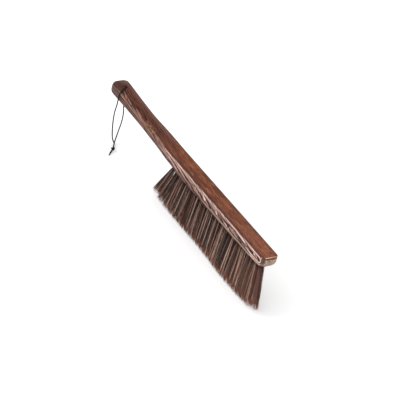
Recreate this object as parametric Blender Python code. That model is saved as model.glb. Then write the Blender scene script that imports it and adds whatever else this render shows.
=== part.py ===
# Drafting brush: a one-piece wooden body, whose flat block carries two staggered rows of
# hair tufts in drilled blind holes and whose swept handle ends in a rounded butt with a
# hanging bore. A thin knotted cord runs through the bore and hangs from the handle.
# The brush stands on its hair tips, handle towards -X, with the floor at z = 0.

import math
import random

import bmesh
import bpy
import numpy as np
from mathutils import Matrix, Vector

# Wooden body
OVERALL_LENGTH = 0.384
BLOCK_WIDTH = 0.024
BLOCK_THICKNESS = 0.015
BLOCK_LENGTH = 0.223
BLOCK_EDGE_RADIUS = 0.0009
EDGE_RUNOUT_LENGTH = 0.022
FREE_HAIR_LENGTH = 0.0592

# Handle, as offsets from the block's own underside and top
NECK_TO_BLOCK = 0.040
NECK_UNDERSIDE_RISE = 0.0030
NECK_TOP_RISE = 0.0020
NECK_LOWER_RADIUS = 0.0046
NECK_UPPER_RADIUS = 0.0030
WAIST_TO_BLOCK = 0.082
WAIST_WIDTH = 0.0230
WAIST_UNDERSIDE_RISE = 0.0044
WAIST_TOP_RISE = 0.0039
WAIST_EDGE_RADIUS = 0.0058
BUTT_WIDTH = 0.0250
BUTT_UNDERSIDE_RISE = 0.0052
BUTT_TOP_RISE = 0.0086
BUTT_EDGE_RADIUS = 0.0068
BUTT_DOME_LENGTH = 0.0110
LOWER_EDGE_AT_BLOCK_END = 0.0040
HANDLE_RING_SPACING = 0.0075
BUTT_RING_ANGLES = (13, 25, 38, 52, 66, 80)
CORNER_SEGMENTS = 5
MOST_SIDEWAYS_SHARE = 0.98
MOST_UPRIGHT_SHARE = 0.49
SHARP_EDGE_ANGLE = math.radians(35)
FLAT_ANGLE = math.radians(1)
WELD_DISTANCE = 1e-6

# Nose, rounded in plan and drawn up underneath
NOSE_PLAN_RADIUS = 0.0070
NOSE_UNDERSIDE_RADIUS = 0.0075
NOSE_TOP_RADIUS = 0.0012
NOSE_PLAN_POWER = 2.1
NOSE_TOP_SHARE = 0.25
NOSE_CORNER_RADIUS = 0.0130
LOWER_EDGE_FREE_TO_NOSE = 0.034
LOWER_EDGE_AT_NOSE = 0.0048
NOSE_RUN_RINGS = 5
NOSE_RING_SHARES = (1.0, 0.8, 0.6, 0.42, 0.28, 0.16, 0.08, 0.03)

# Tufts and their holes
NEAR_ROW_TUFTS = 25
FAR_ROW_TUFTS = 23
TUFT_PITCH = 0.00865
ROW_SPACING = 0.0110
LAST_TUFT_TO_NOSE = 0.0092
PLUG_RADIUS = 0.0026
PLUG_DEPTH = 0.0090
PLUG_PROUD_HEIGHT = 0.0002
FIT_CLEARANCE = 0.0003
TUFT_SIDES = 8
HOLE_MOUTH_OVERRUN = 0.0030

# Fan of the hair: sideways reach for each metre of drop
FAN_MIDDLE_SLOPE = 0.11
FAN_HANDLE_END_SLOPE = 0.46
FAN_NOSE_END_SLOPE = 0.27
FAN_HANDLE_END_POWER = 6
FAN_NOSE_END_POWER = 10
FAN_OUTWARD_SLOPE = 0.065
TUFT_SPREAD_RATIO = 0.70
STRAND_ROOT_GAP = 0.0004
STRAND_MID_SHARE = 0.5
STRAND_TIP_RATIO = 0.90
END_TIP_LIFT_HEIGHT = 0.0060
END_TIP_LIFT_POWER = 14
TIP_TRIM_DEPTH = 0.0005
SHORT_STRAND_SHARE = 0.35
SHORT_STRAND_LIFT_HEIGHT = 0.0022
HAIR_SEED = 11

# Hanging bore and cord
BORE_RADIUS = 0.0020
BORE_CHAMFER = 0.0008
BORE_SIDES = 16
CUTTER_OVERRUN = 0.0040
BORE_TO_BUTT = 0.0215
CORD_DIAMETER = 0.0016
CORD_POINT_SPACING = 0.0040
CORD_WRAP_SPACING = 0.0021
CORD_WRAP_CLEARANCE = 0.0005
CORD_BEND_RADIUS = 0.0030
CORD_SLANT_ALONG_HANDLE = 0.0072
CORD_SLANT_POWER = 1.5
CORD_BEND_ANGLES = (30, 60, 90)
CORD_WRAP_ANGLES = (0, 22, 45, 67, 90)
CORD_CURVE_STEPS = 16
CORD_END_SHIFT_RATIO = 0.7
CORD_END_SIZE_RATIO = 0.6
SWING_AXIS_DROP = 0.0013
KNOT_CENTRE = (-0.1477, -0.0143)
KNOT_TURN = math.radians(-35)
KNOT_RADII = (0.0028, 0.0026, 0.0024)
KNOT_SEGMENTS = 14
KNOT_RINGS = 8

# Colours
WOOD_COLOUR = (0.155, 0.060, 0.035)
DARK_HAIR_COLOUR = (0.045, 0.032, 0.028)
BROWN_HAIR_COLOUR = (0.095, 0.052, 0.042)
CORD_COLOUR = (0.018, 0.018, 0.020)
LACQUER_ROUGHNESS = 0.32
HAIR_ROUGHNESS = 0.55
CORD_ROUGHNESS = 0.75

# Levels and stations that follow from the sizes above
UNDERSIDE_Z = FREE_HAIR_LENGTH
TOP_Z = UNDERSIDE_Z + BLOCK_THICKNESS
BUTT_X = -0.1905
NOSE_X = BUTT_X + OVERALL_LENGTH
BLOCK_START_X = NOSE_X - BLOCK_LENGTH
DOME_START_X = BUTT_X + BUTT_DOME_LENGTH
BORE_X = BUTT_X + BORE_TO_BUTT
NEAR_ROW_END_X = NOSE_X - LAST_TUFT_TO_NOSE
FIELD_START_X = NEAR_ROW_END_X - (NEAR_ROW_TUFTS - 1) * TUFT_PITCH
SQUARE_START_X = BLOCK_START_X + EDGE_RUNOUT_LENGTH
CORD_RADIUS = CORD_DIAMETER / 2
HOLE_RADIUS = PLUG_RADIUS + FIT_CLEARANCE / math.cos(math.pi / TUFT_SIDES)


def clear_scene():
    for item in list(bpy.data.objects):
        bpy.data.objects.remove(item, do_unlink=True)


def make_collection(name):
    collection = bpy.data.collections.new(name)
    bpy.context.scene.collection.children.link(collection)
    return collection


def make_material(name, colour, roughness):
    material = bpy.data.materials.new(name)
    material.use_nodes = True
    shader = material.node_tree.nodes["Principled BSDF"]
    shader.inputs["Base Color"].default_value = (*colour, 1.0)
    shader.inputs["Roughness"].default_value = roughness
    material.diffuse_color = (*colour, 1.0)
    return material


def link_mesh(bm, name, collection, material=None):
    mesh = bpy.data.meshes.new(name)
    bm.to_mesh(mesh)
    bm.free()
    item = bpy.data.objects.new(name, mesh)
    collection.objects.link(item)
    if material:
        mesh.materials.append(material)
    return item


def place_origin(item, point):
    item.data.transform(Matrix.Translation(-Vector(point)))
    item.location = point


# Wooden body

def body_profile(x):
    """Half width, underside, top, lower and upper edge radius of the body at a station."""
    neck_x = BLOCK_START_X - NECK_TO_BLOCK
    waist_x = BLOCK_START_X - WAIST_TO_BLOCK
    stations = (DOME_START_X, waist_x, neck_x, BLOCK_START_X, SQUARE_START_X,
                NOSE_X - LOWER_EDGE_FREE_TO_NOSE, NOSE_X - NOSE_UNDERSIDE_RADIUS)
    level = (0.0,) * 4
    width = (BUTT_WIDTH, WAIST_WIDTH) + (BLOCK_WIDTH,) * 5
    under = (BUTT_UNDERSIDE_RISE, WAIST_UNDERSIDE_RISE, NECK_UNDERSIDE_RISE) + level
    top = (BUTT_TOP_RISE, WAIST_TOP_RISE, NECK_TOP_RISE) + level
    lower = (BUTT_EDGE_RADIUS, WAIST_EDGE_RADIUS, NECK_LOWER_RADIUS, LOWER_EDGE_AT_BLOCK_END,
             BLOCK_EDGE_RADIUS, BLOCK_EDGE_RADIUS, LOWER_EDGE_AT_NOSE)
    upper = (BUTT_EDGE_RADIUS, WAIST_EDGE_RADIUS, NECK_UPPER_RADIUS) + (BLOCK_EDGE_RADIUS,) * 4
    return (
        smooth_value(stations, width, x) / 2,
        UNDERSIDE_Z + smooth_value(stations, under, x),
        TOP_Z + smooth_value(stations, top, x),
        smooth_value(stations, lower, x),
        smooth_value(stations, upper, x),
    )


def smooth_value(stations, values, x):
    """Cubic through the stations that never overshoots them, level at both ends of a flat."""
    x = min(max(x, stations[0]), stations[-1])
    runs = np.diff(stations)
    rises = np.diff(values) / runs
    slopes = np.zeros(len(values))
    slopes[0] = rises[0]
    for i in range(1, len(rises)):
        if rises[i - 1] * rises[i] > 0:
            slopes[i] = 2 * rises[i - 1] * rises[i] / (rises[i - 1] + rises[i])
    index = int(min(np.searchsorted(stations, x, side="right") - 1, len(stations) - 2))
    span = stations[index + 1] - stations[index]
    t = (x - stations[index]) / span
    start_rise, end_rise = slopes[index] * span, slopes[index + 1] * span
    return ((2 * t ** 3 - 3 * t ** 2 + 1) * values[index] + (t ** 3 - 2 * t ** 2 + t) * start_rise
            + (3 * t ** 2 - 2 * t ** 3) * values[index + 1] + (t ** 3 - t ** 2) * end_rise)


def rounded_section(x, half_width, underside, top, lower_radius, upper_radius):
    """Points of a rounded rectangle in the YZ plane, in order round the section."""
    most = min(MOST_SIDEWAYS_SHARE * half_width, MOST_UPRIGHT_SHARE * (top - underside))
    lower, upper = min(lower_radius, most), min(upper_radius, most)
    corners = (
        (half_width - upper, top - upper, upper, 0.0),
        (-half_width + upper, top - upper, upper, 0.5 * math.pi),
        (-half_width + lower, underside + lower, lower, math.pi),
        (half_width - lower, underside + lower, lower, 1.5 * math.pi),
    )
    points = []
    for y, z, radius, start in corners:
        for step in range(CORNER_SEGMENTS + 1):
            angle = start + 0.5 * math.pi * step / CORNER_SEGMENTS
            points.append((x, y + radius * math.cos(angle), z + radius * math.sin(angle)))
    return points


def butt_sections():
    half_width, underside, top, lower, upper = body_profile(DOME_START_X)
    middle = (underside + top) / 2
    sections = []
    for angle in BUTT_RING_ANGLES:
        share = math.sin(math.radians(angle))
        x = DOME_START_X - BUTT_DOME_LENGTH * math.cos(math.radians(angle))
        sections.append(rounded_section(
            x, half_width * share, middle + (underside - middle) * share,
            middle + (top - middle) * share, lower * share, upper * share))
    return sections


def handle_sections():
    count = math.ceil((SQUARE_START_X - DOME_START_X) / HANDLE_RING_SPACING)
    stations = np.linspace(DOME_START_X, SQUARE_START_X, count + 1)
    return [rounded_section(x, *body_profile(x)) for x in stations]


def round_off(distance, length, power):
    """Share of the full size that is left at a distance from the end of a rounding."""
    reach = max(0.0, 1.0 - distance / length)
    return (1.0 - reach ** power) ** (1.0 / power)


def nose_run_sections():
    """The last stretch of the block, whose lower edges grow rounder up to the nose."""
    stations = np.linspace(NOSE_X - LOWER_EDGE_FREE_TO_NOSE, NOSE_X - NOSE_UNDERSIDE_RADIUS, NOSE_RUN_RINGS)
    return [rounded_section(x, *body_profile(x)) for x in stations[:-1]]


def nose_sections():
    half_width, underside, top, lower_radius, upper_radius = body_profile(NOSE_X)
    seat = top - NOSE_TOP_SHARE * BLOCK_THICKNESS
    sections = []
    for share in NOSE_RING_SHARES:
        distance = share * NOSE_UNDERSIDE_RADIUS
        width_left = round_off(distance, NOSE_PLAN_RADIUS, NOSE_PLAN_POWER)
        under_left = round_off(distance, NOSE_UNDERSIDE_RADIUS, 2.0)
        top_left = round_off(distance, NOSE_TOP_RADIUS, 2.0)
        lower = seat + (underside - seat) * under_left
        upper = top - NOSE_TOP_RADIUS * (1.0 - top_left)
        corner = lower_radius + (NOSE_CORNER_RADIUS - lower_radius) * (1.0 - share)
        sections.append(rounded_section(
            NOSE_X - distance, half_width * width_left, lower, upper, corner, upper_radius))
    return sections


def loft(sections):
    bm = bmesh.new()
    rings = [[bm.verts.new(point) for point in section] for section in sections]
    size = len(rings[0])
    for ring, following in zip(rings, rings[1:]):
        for i in range(size):
            j = (i + 1) % size
            bm.faces.new((ring[i], ring[j], following[j], following[i]))
    bm.faces.new(rings[0][::-1])
    bm.faces.new(rings[-1])
    bmesh.ops.recalc_face_normals(bm, faces=bm.faces)
    return bm


def make_wooden_body(parts, cutters, material):
    bm = loft(butt_sections() + handle_sections() + nose_run_sections() + nose_sections())
    body = link_mesh(bm, "wooden_body", parts, material)
    holes = (("tuft_holes", make_hole_cutter(cutters)), ("hanging_bore", make_bore_cutter(cutters)))
    for name, cutter in holes:
        cut = body.modifiers.new(name, "BOOLEAN")
        cut.operation = "DIFFERENCE"
        cut.solver = "EXACT"
        cut.object = cutter
    body.data.shade_smooth()
    body.data.set_sharp_from_angle(angle=SHARP_EDGE_ANGLE)
    return body


# Tufts

def field_share(x):
    """Station along the tuft field, from -1 at its handle end to 1 at its nose end."""
    middle = (FIELD_START_X + NEAR_ROW_END_X) / 2
    return (x - middle) / ((NEAR_ROW_END_X - FIELD_START_X) / 2)


def fan_along(x):
    """Slope of the hair along the brush at a station of the tuft field."""
    u = field_share(x)
    at_end, power = FAN_HANDLE_END_SLOPE, FAN_HANDLE_END_POWER
    if u > 0:
        at_end, power = FAN_NOSE_END_SLOPE, FAN_NOSE_END_POWER
    slope = FAN_MIDDLE_SLOPE * abs(u) + (at_end - FAN_MIDDLE_SLOPE) * abs(u) ** power
    return math.copysign(slope, u)


def tuft_roots():
    """Name, centre and side of each tuft; the far row stands half a pitch off the near one."""
    roots = []
    for side, row, count, offset in (
            (-1, "near", NEAR_ROW_TUFTS, 0.0), (1, "far", FAR_ROW_TUFTS, TUFT_PITCH / 2)):
        for i in range(count):
            x = FIELD_START_X + offset + i * TUFT_PITCH
            root = Vector((x, side * ROW_SPACING / 2, UNDERSIDE_Z))
            roots.append((f"tuft_{row}_{i + 1:02d}", root, side))
    return roots


def tuft_tilt(root, side):
    """Matrix that puts a piece drawn down the Z axis in its hole, in line with its lean."""
    downwards = Vector((fan_along(root.x), side * FAN_OUTWARD_SLOPE, -1.0)).normalized()
    turn = Vector((0.0, 0.0, -1.0)).rotation_difference(downwards)
    return Matrix.Translation(root) @ turn.to_matrix().to_4x4()


def upright_cylinder(bm, radius, bottom, top, sides):
    made = bmesh.ops.create_cone(
        bm, cap_ends=True, cap_tris=True, segments=sides, radius1=radius, radius2=radius,
        depth=top - bottom, matrix=Matrix.Translation((0.0, 0.0, (top + bottom) / 2)))
    return made["verts"]


def make_hole_cutter(cutters):
    bm = bmesh.new()
    for _, root, side in tuft_roots():
        verts = upright_cylinder(
            bm, HOLE_RADIUS, -HOLE_MOUTH_OVERRUN, PLUG_DEPTH + FIT_CLEARANCE, TUFT_SIDES)
        bmesh.ops.transform(bm, matrix=tuft_tilt(root, side), verts=verts)
    return as_cutter(link_mesh(bm, "tuft_hole_cutter", cutters))


def as_cutter(item):
    item.hide_render = True
    item.display_type = "WIRE"
    return item


def hair_place(point, root, side, drop_share):
    """Where hair that leaves the block at a point has got to, at a share of its drop."""
    spread = 1.0 + TUFT_SPREAD_RATIO * drop_share
    drop = drop_share * FREE_HAIR_LENGTH
    x = root.x + (point.x - root.x) * spread + drop * fan_along(point.x)
    y = root.y + (point.y - root.y) * spread + drop * side * FAN_OUTWARD_SLOPE
    return Vector((x, y, UNDERSIDE_Z - drop))


def draw_strand(bm, sector, root, side, tip_rise):
    """Draws one strand down from its sector of the plug's lower face."""
    centre = sector.calc_center_median()
    tip_rise += END_TIP_LIFT_HEIGHT * abs(field_share(root.x)) ** END_TIP_LIFT_POWER
    tip_rise = max(0.0, tip_rise - TIP_TRIM_DEPTH)
    corners = {vert: vert.co - centre for vert in sector.verts}
    for share, scale in ((STRAND_MID_SHARE, 1.0), (1.0 - tip_rise / FREE_HAIR_LENGTH, STRAND_TIP_RATIO)):
        made = bmesh.ops.extrude_discrete_faces(bm, faces=[sector])
        following = made["faces"][0]
        old_corners = list(corners.values())
        place = hair_place(centre, root, side, share)
        corners = {}
        for vert, offset in zip(following.verts, old_corners):
            flat = Vector((offset.x, offset.y, 0.0))
            vert.co = place + flat * scale
            corners[vert] = flat
        sector = following


def make_tuft(name, root, side, chance, parts, material):
    bm = bmesh.new()
    verts = upright_cylinder(bm, PLUG_RADIUS, -PLUG_PROUD_HEIGHT, PLUG_DEPTH, TUFT_SIDES)
    bmesh.ops.transform(bm, matrix=tuft_tilt(root, side), verts=verts)
    middle_z = sum((vert.co.z for vert in verts), 0.0) / len(verts)
    lower = [face for face in bm.faces
             if len(face.verts) == 3 and face.calc_center_median().z < middle_z]
    bmesh.ops.inset_individual(bm, faces=lower, thickness=STRAND_ROOT_GAP / 2)
    for index, sector in enumerate(lower):
        is_short = chance.random() < SHORT_STRAND_SHARE and index % 2
        tip_rise = chance.random() * SHORT_STRAND_LIFT_HEIGHT if is_short else 0.0
        draw_strand(bm, sector, root, side, tip_rise)
    bmesh.ops.dissolve_limit(
        bm, angle_limit=FLAT_ANGLE, verts=bm.verts,
        edges=[edge for edge in bm.edges if edge.calc_length() > 0 and is_upper_cap(edge, middle_z)])
    item = link_mesh(bm, name, parts, material)
    place_origin(item, root)
    return item


def is_upper_cap(edge, middle_z):
    return len(edge.link_faces) == 2 and all(
        len(face.verts) == 3 and face.calc_center_median().z > middle_z for face in edge.link_faces)


def make_tufts(parts, materials):
    chance = random.Random(HAIR_SEED)
    tufts = []
    for name, root, side in tuft_roots():
        tufts.append(make_tuft(name, root, side, chance, parts, chance.choice(materials)))
    return tufts


# Hanging bore and cord

def make_bore_cutter(cutters):
    _, underside, top, _, _ = body_profile(BORE_X)
    top_reach = top + CUTTER_OVERRUN
    low_reach = underside - CUTTER_OVERRUN
    flared = BORE_RADIUS + BORE_CHAMFER + CUTTER_OVERRUN
    profile = [
        (0.0, top_reach), (flared, top_reach),
        (BORE_RADIUS, top - BORE_CHAMFER), (BORE_RADIUS, underside + BORE_CHAMFER),
        (flared, low_reach), (0.0, low_reach),
    ]
    bm = bmesh.new()
    verts = [bm.verts.new((radius, 0.0, z)) for radius, z in profile]
    edges = [bm.edges.new(pair) for pair in zip(verts, verts[1:])]
    bmesh.ops.spin(
        bm, geom=verts + edges, cent=(0, 0, 0), axis=(0, 0, 1), angle=2 * math.pi, steps=BORE_SIDES)
    bmesh.ops.remove_doubles(bm, verts=bm.verts, dist=WELD_DISTANCE)
    bmesh.ops.recalc_face_normals(bm, faces=bm.faces)
    bmesh.ops.translate(bm, verts=bm.verts, vec=(BORE_X, 0.0, 0.0))
    return as_cutter(link_mesh(bm, "hanging_bore_cutter", cutters))


def swing_points():
    """Where the two free legs of the loop turn: under the bore and beside the handle."""
    underside = body_profile(BORE_X)[1]
    side_x = BORE_X + CORD_SLANT_ALONG_HANDLE
    half_width = body_profile(side_x)[0]
    level = underside - SWING_AXIS_DROP
    under = Vector((BORE_X, 0.0, level))
    beside = Vector((side_x, -half_width - CORD_RADIUS - FIT_CLEARANCE, level))
    return under, beside


def held_route():
    """Centreline of the cord from under the bore, over the handle, to beside it."""
    under, beside = swing_points()
    half_width, _, top, _, corner = body_profile(BORE_X + CORD_SLANT_ALONG_HANDLE / 2)
    off = CORD_RADIUS + CORD_WRAP_CLEARANCE
    end_gap = CORD_RADIUS + FIT_CLEARANCE
    over = top + off
    bend = CORD_BEND_RADIUS
    side_points = [(0.0, under.z + end_gap), (0.0, (under.z + over) / 2), (0.0, over - bend)]
    for angle in CORD_BEND_ANGLES:
        turn = math.radians(angle)
        side_points.append((-bend + bend * math.cos(turn), over - bend + bend * math.sin(turn)))
    for angle in CORD_WRAP_ANGLES:
        turn = math.radians(angle)
        reach = corner + off
        side_points.append((
            -half_width + corner - reach * math.sin(turn), top - corner + reach * math.cos(turn)))
    side_points.append((beside.y, beside.z + end_gap))
    crossing = abs(beside.y)
    route = []
    for y, z in side_points:
        left_to_cross = max(0.0, 1.0 - abs(y) / crossing)
        slant = CORD_SLANT_ALONG_HANDLE * (1.0 - left_to_cross ** CORD_SLANT_POWER)
        route.append(Vector((BORE_X + slant, y, z)))
    return route


def leg_routes():
    """Centrelines of the two free legs, down from the handle and along the floor to the knot.

    The leg from beside the handle comes to lie on top of the other before the knot.
    """
    under, beside = swing_points()
    floor = CORD_RADIUS + FIT_CLEARANCE / 2
    stacked = floor + CORD_DIAMETER + FIT_CLEARANCE
    beside_leg = [
        beside, Vector((-0.1626, -0.0137, 0.0520)), Vector((-0.1624, -0.0138, 0.0430)),
        Vector((-0.1614, -0.0137, 0.0340)), Vector((-0.1603, -0.0131, 0.0250)),
        Vector((-0.1600, -0.0114, 0.0150)), Vector((-0.1604, -0.0090, 0.0080)),
        Vector((-0.1600, -0.0075, 0.0045)), Vector((-0.1585, -0.0069, 0.0030)),
        Vector((-0.1562, -0.0083, stacked)), Vector((-0.1533, -0.0103, stacked)),
        Vector((-0.1503, -0.0124, stacked)),
    ]
    under_leg = [
        under, Vector((-0.1660, 0.0002, 0.0560)), Vector((-0.1630, 0.0001, 0.0470)),
        Vector((-0.1618, 0.0000, 0.0390)), Vector((-0.1622, -0.0001, 0.0300)),
        Vector((-0.1632, -0.0005, 0.0210)), Vector((-0.1632, -0.0016, 0.0120)),
        Vector((-0.1626, -0.0029, 0.0062)), Vector((-0.1613, -0.0044, 0.0025)),
        Vector((-0.1590, -0.0062, floor)), Vector((-0.1562, -0.0083, floor)),
        Vector((-0.1533, -0.0103, floor)), Vector((-0.1503, -0.0124, 0.0012)),
    ]
    return beside_leg, under_leg


def tail_routes():
    """Centrelines of the two short ends that the knot leaves, the shorter on top."""
    floor = CORD_RADIUS + FIT_CLEARANCE / 2
    stacked = floor + CORD_DIAMETER + FIT_CLEARANCE
    first = [Vector((-0.1457, -0.0167, 0.0012)), Vector((-0.1437, -0.0190, floor)),
             Vector((-0.1411, -0.0221, floor)), Vector((-0.1384, -0.0252, floor))]
    second = [Vector((-0.1457, -0.0167, 0.0032)), Vector((-0.1439, -0.0188, stacked)),
              Vector((-0.1420, -0.0210, stacked)), Vector((-0.1403, -0.0230, stacked))]
    return first, second


def smooth_route(route, spacing):
    """Even points along the smooth curve through a route's own points."""
    padded = [2 * route[0] - route[1]] + list(route) + [2 * route[-1] - route[-2]]
    fine = []
    for before, start, end, after in zip(padded, padded[1:], padded[2:], padded[3:]):
        rise = end - before
        bend = 2 * before - 5 * start + 4 * end - after
        twist = 3 * start - before - 3 * end + after
        for i in range(CORD_CURVE_STEPS):
            t = i / CORD_CURVE_STEPS
            fine.append(0.5 * (2 * start + rise * t + bend * t ** 2 + twist * t ** 3))
    fine.append(route[-1].copy())
    runs = np.cumsum([0.0] + [(b - a).length for a, b in zip(fine, fine[1:])])
    count = max(2, round(runs[-1] / spacing))
    wanted = np.linspace(0.0, runs[-1], count + 1)
    columns = [np.interp(wanted, runs, [point[axis] for point in fine]) for axis in range(3)]
    return [Vector(point) for point in zip(*columns)]


def make_cord(name, route, parts, material, spacing=CORD_POINT_SPACING, rounded_start=False):
    """Tube along a route; a rounded start lets it turn about its first point."""
    points = [(point, 1.0) for point in smooth_route(route, spacing)]
    if rounded_start:
        first, second = points[0][0], points[1][0]
        backwards = (first - second).normalized() * CORD_RADIUS * CORD_END_SHIFT_RATIO
        points.insert(0, (first + backwards, CORD_END_SIZE_RATIO))
    curve = bpy.data.curves.new(name, "CURVE")
    curve.dimensions = "3D"
    curve.bevel_depth = CORD_RADIUS
    curve.bevel_resolution = 2
    curve.use_fill_caps = True
    spline = curve.splines.new("POLY")
    spline.points.add(len(points) - 1)
    for spot, (place, share) in zip(spline.points, points):
        spot.co = (*place, 1.0)
        spot.radius = share
    curve.materials.append(material)
    item = bpy.data.objects.new(name, curve)
    parts.objects.link(item)
    return item


def make_knot(parts, material):
    bm = bmesh.new()
    bmesh.ops.create_uvsphere(
        bm, u_segments=KNOT_SEGMENTS, v_segments=KNOT_RINGS, radius=1.0)
    bmesh.ops.scale(bm, vec=KNOT_RADII, verts=bm.verts)
    knot = link_mesh(bm, "cord_knot", parts, material)
    knot.location = (*KNOT_CENTRE, KNOT_RADII[2] + FIT_CLEARANCE / 2)
    knot.rotation_euler = (0.0, 0.0, KNOT_TURN)
    knot.data.shade_smooth()
    return knot


def make_cord_loop(parts, material):
    """The held stretch, and the free loop that turns about the line between its two legs."""
    held = make_cord("cord_over_handle", held_route(), parts, material, spacing=CORD_WRAP_SPACING)
    beside_leg, under_leg = leg_routes()
    first_tail, second_tail = tail_routes()
    free = [
        make_cord("cord_leg_beside", beside_leg, parts, material, rounded_start=True),
        make_cord("cord_leg_under", under_leg, parts, material, rounded_start=True),
        make_knot(parts, material),
        make_cord("cord_tail_long", first_tail, parts, material),
        make_cord("cord_tail_short", second_tail, parts, material),
    ]
    return held, free


def make_frame(parts, items, cutters, loop_items):
    """Empties that set the standing brush over the origin and carry the swinging loop."""
    frame = bpy.data.objects.new("brush_frame", None)
    hinge = bpy.data.objects.new("loop_swing_axis", None)
    for empty in (frame, hinge):
        parts.objects.link(empty)
    under, beside = swing_points()
    hinge.location = (under + beside) / 2
    hinge.parent = frame
    for item in [*items, *cutters.objects]:
        item.parent = frame
    for item in loop_items:
        item.parent = hinge
        item.matrix_parent_inverse = Matrix.Translation(-hinge.location)
    bpy.context.view_layer.update()
    frame.location = -standing_centre(items)
    return frame


def standing_centre(items):
    """Middle, in plan, of the wood and hair as they stand, without the cord."""
    corners = []
    for item in items:
        if item.type == "MESH":
            corners += [item.matrix_world @ vert.co for vert in item.data.vertices]
    lows = [min(corner[axis] for corner in corners) for axis in range(2)]
    highs = [max(corner[axis] for corner in corners) for axis in range(2)]
    return Vector(((lows[0] + highs[0]) / 2, (lows[1] + highs[1]) / 2, 0.0))


def main():
    clear_scene()
    parts = make_collection("drafting_brush")
    cutters = make_collection("cutters")
    wood = make_material("lacquered_wood", WOOD_COLOUR, LACQUER_ROUGHNESS)
    dark_hair = make_material("dark_hair", DARK_HAIR_COLOUR, HAIR_ROUGHNESS)
    brown_hair = make_material("brown_hair", BROWN_HAIR_COLOUR, HAIR_ROUGHNESS)
    cord = make_material("black_cord", CORD_COLOUR, CORD_ROUGHNESS)
    body = make_wooden_body(parts, cutters, wood)
    tufts = make_tufts(parts, (dark_hair, dark_hair, brown_hair))
    held, loop = make_cord_loop(parts, cord)
    make_frame(parts, [body, *tufts, held], cutters, loop)


main()
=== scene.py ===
# The looks of the drafting brush: lacquered striped hardwood, two rows of dark hair and a
# thin black hanging cord with its knot.
# The brush stands on its hair tips, handle towards -X, with the floor at z = 0.

import math
from functools import reduce

import bmesh
import bpy
import numpy as np
from mathutils import Matrix, Vector


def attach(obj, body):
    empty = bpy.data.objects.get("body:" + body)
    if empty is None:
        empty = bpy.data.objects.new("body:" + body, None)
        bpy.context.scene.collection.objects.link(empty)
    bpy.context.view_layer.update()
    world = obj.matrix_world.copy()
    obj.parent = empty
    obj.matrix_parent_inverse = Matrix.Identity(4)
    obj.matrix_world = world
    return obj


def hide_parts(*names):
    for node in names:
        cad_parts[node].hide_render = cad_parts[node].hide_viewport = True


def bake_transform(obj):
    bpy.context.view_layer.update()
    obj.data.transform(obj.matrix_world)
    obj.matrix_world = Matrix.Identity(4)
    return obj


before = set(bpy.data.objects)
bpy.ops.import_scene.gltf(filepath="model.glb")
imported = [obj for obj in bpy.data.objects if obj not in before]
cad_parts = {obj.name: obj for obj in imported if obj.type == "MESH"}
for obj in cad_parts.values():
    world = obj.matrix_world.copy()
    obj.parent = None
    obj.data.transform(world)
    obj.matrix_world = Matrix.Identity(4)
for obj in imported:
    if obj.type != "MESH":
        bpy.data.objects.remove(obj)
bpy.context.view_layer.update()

# Wooden body
BENCH_TO_FRAME = Vector((-0.00661, 0.0, 0.0))
OVERALL_LENGTH = 0.384
BLOCK_WIDTH = 0.024
BLOCK_THICKNESS = 0.015
BLOCK_LENGTH = 0.223
BLOCK_EDGE_RADIUS = 0.0009
EDGE_RUNOUT_LENGTH = 0.022
FREE_HAIR_LENGTH = 0.0592
NECK_TO_BLOCK = 0.040
WAIST_TO_BLOCK = 0.082
BUTT_DOME_LENGTH = 0.0110
NOSE_PLAN_RADIUS = 0.0070
NOSE_UNDERSIDE_RADIUS = 0.0075
NOSE_TOP_RADIUS = 0.0012
NOSE_PLAN_POWER = 2.1
NOSE_SIDE_POWER = 2.0
NOSE_TOP_SHARE = 0.25
NOSE_CORNER_RADIUS = 0.0130
FULLEST_ROUNDING = 0.98
LOWER_EDGE_FREE_TO_NOSE = 0.034
LOWER_EDGE_AT_NOSE = 0.0048
BORE_RADIUS = 0.0020
BORE_LIP = 0.0008
BORE_TO_BUTT = 0.0215
BORE_CUTTER_REACH = 0.004
RING_SPACING = 0.0025
MERGE_DISTANCE = 1e-6
BUTT_RINGS = 14
BUTT_FIRST_AND_LAST_ANGLE = (6, 84)
NOSE_RINGS = 18
NOSE_LAST_RING = 0.08
NOSE_RINGS_CROWDING = 1.6
CORNER_STEPS = 8
BORE_SIDES = 32
BORE_LIP_ANGLES = (0, 20, 40, 60)
FLAT_SHARES = (0.03, 0.2, 0.4, 0.6, 0.8, 0.97)
SHARP_EDGE_ANGLE = 40
# How a point faces: its attribute's name, the axis, and where the attribute begins and is full
FACINGS = (("flank", 1, 0.55, 0.95), ("end_face", 0, 0.45, 0.85))

UNDERSIDE_Z = FREE_HAIR_LENGTH
TOP_Z = UNDERSIDE_Z + BLOCK_THICKNESS
BUTT_X = -0.1905
NOSE_X = BUTT_X + OVERALL_LENGTH
BLOCK_START_X = NOSE_X - BLOCK_LENGTH
SQUARE_START_X = BLOCK_START_X + EDGE_RUNOUT_LENGTH
DOME_START_X = BUTT_X + BUTT_DOME_LENGTH
BORE_X = BUTT_X + BORE_TO_BUTT

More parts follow.
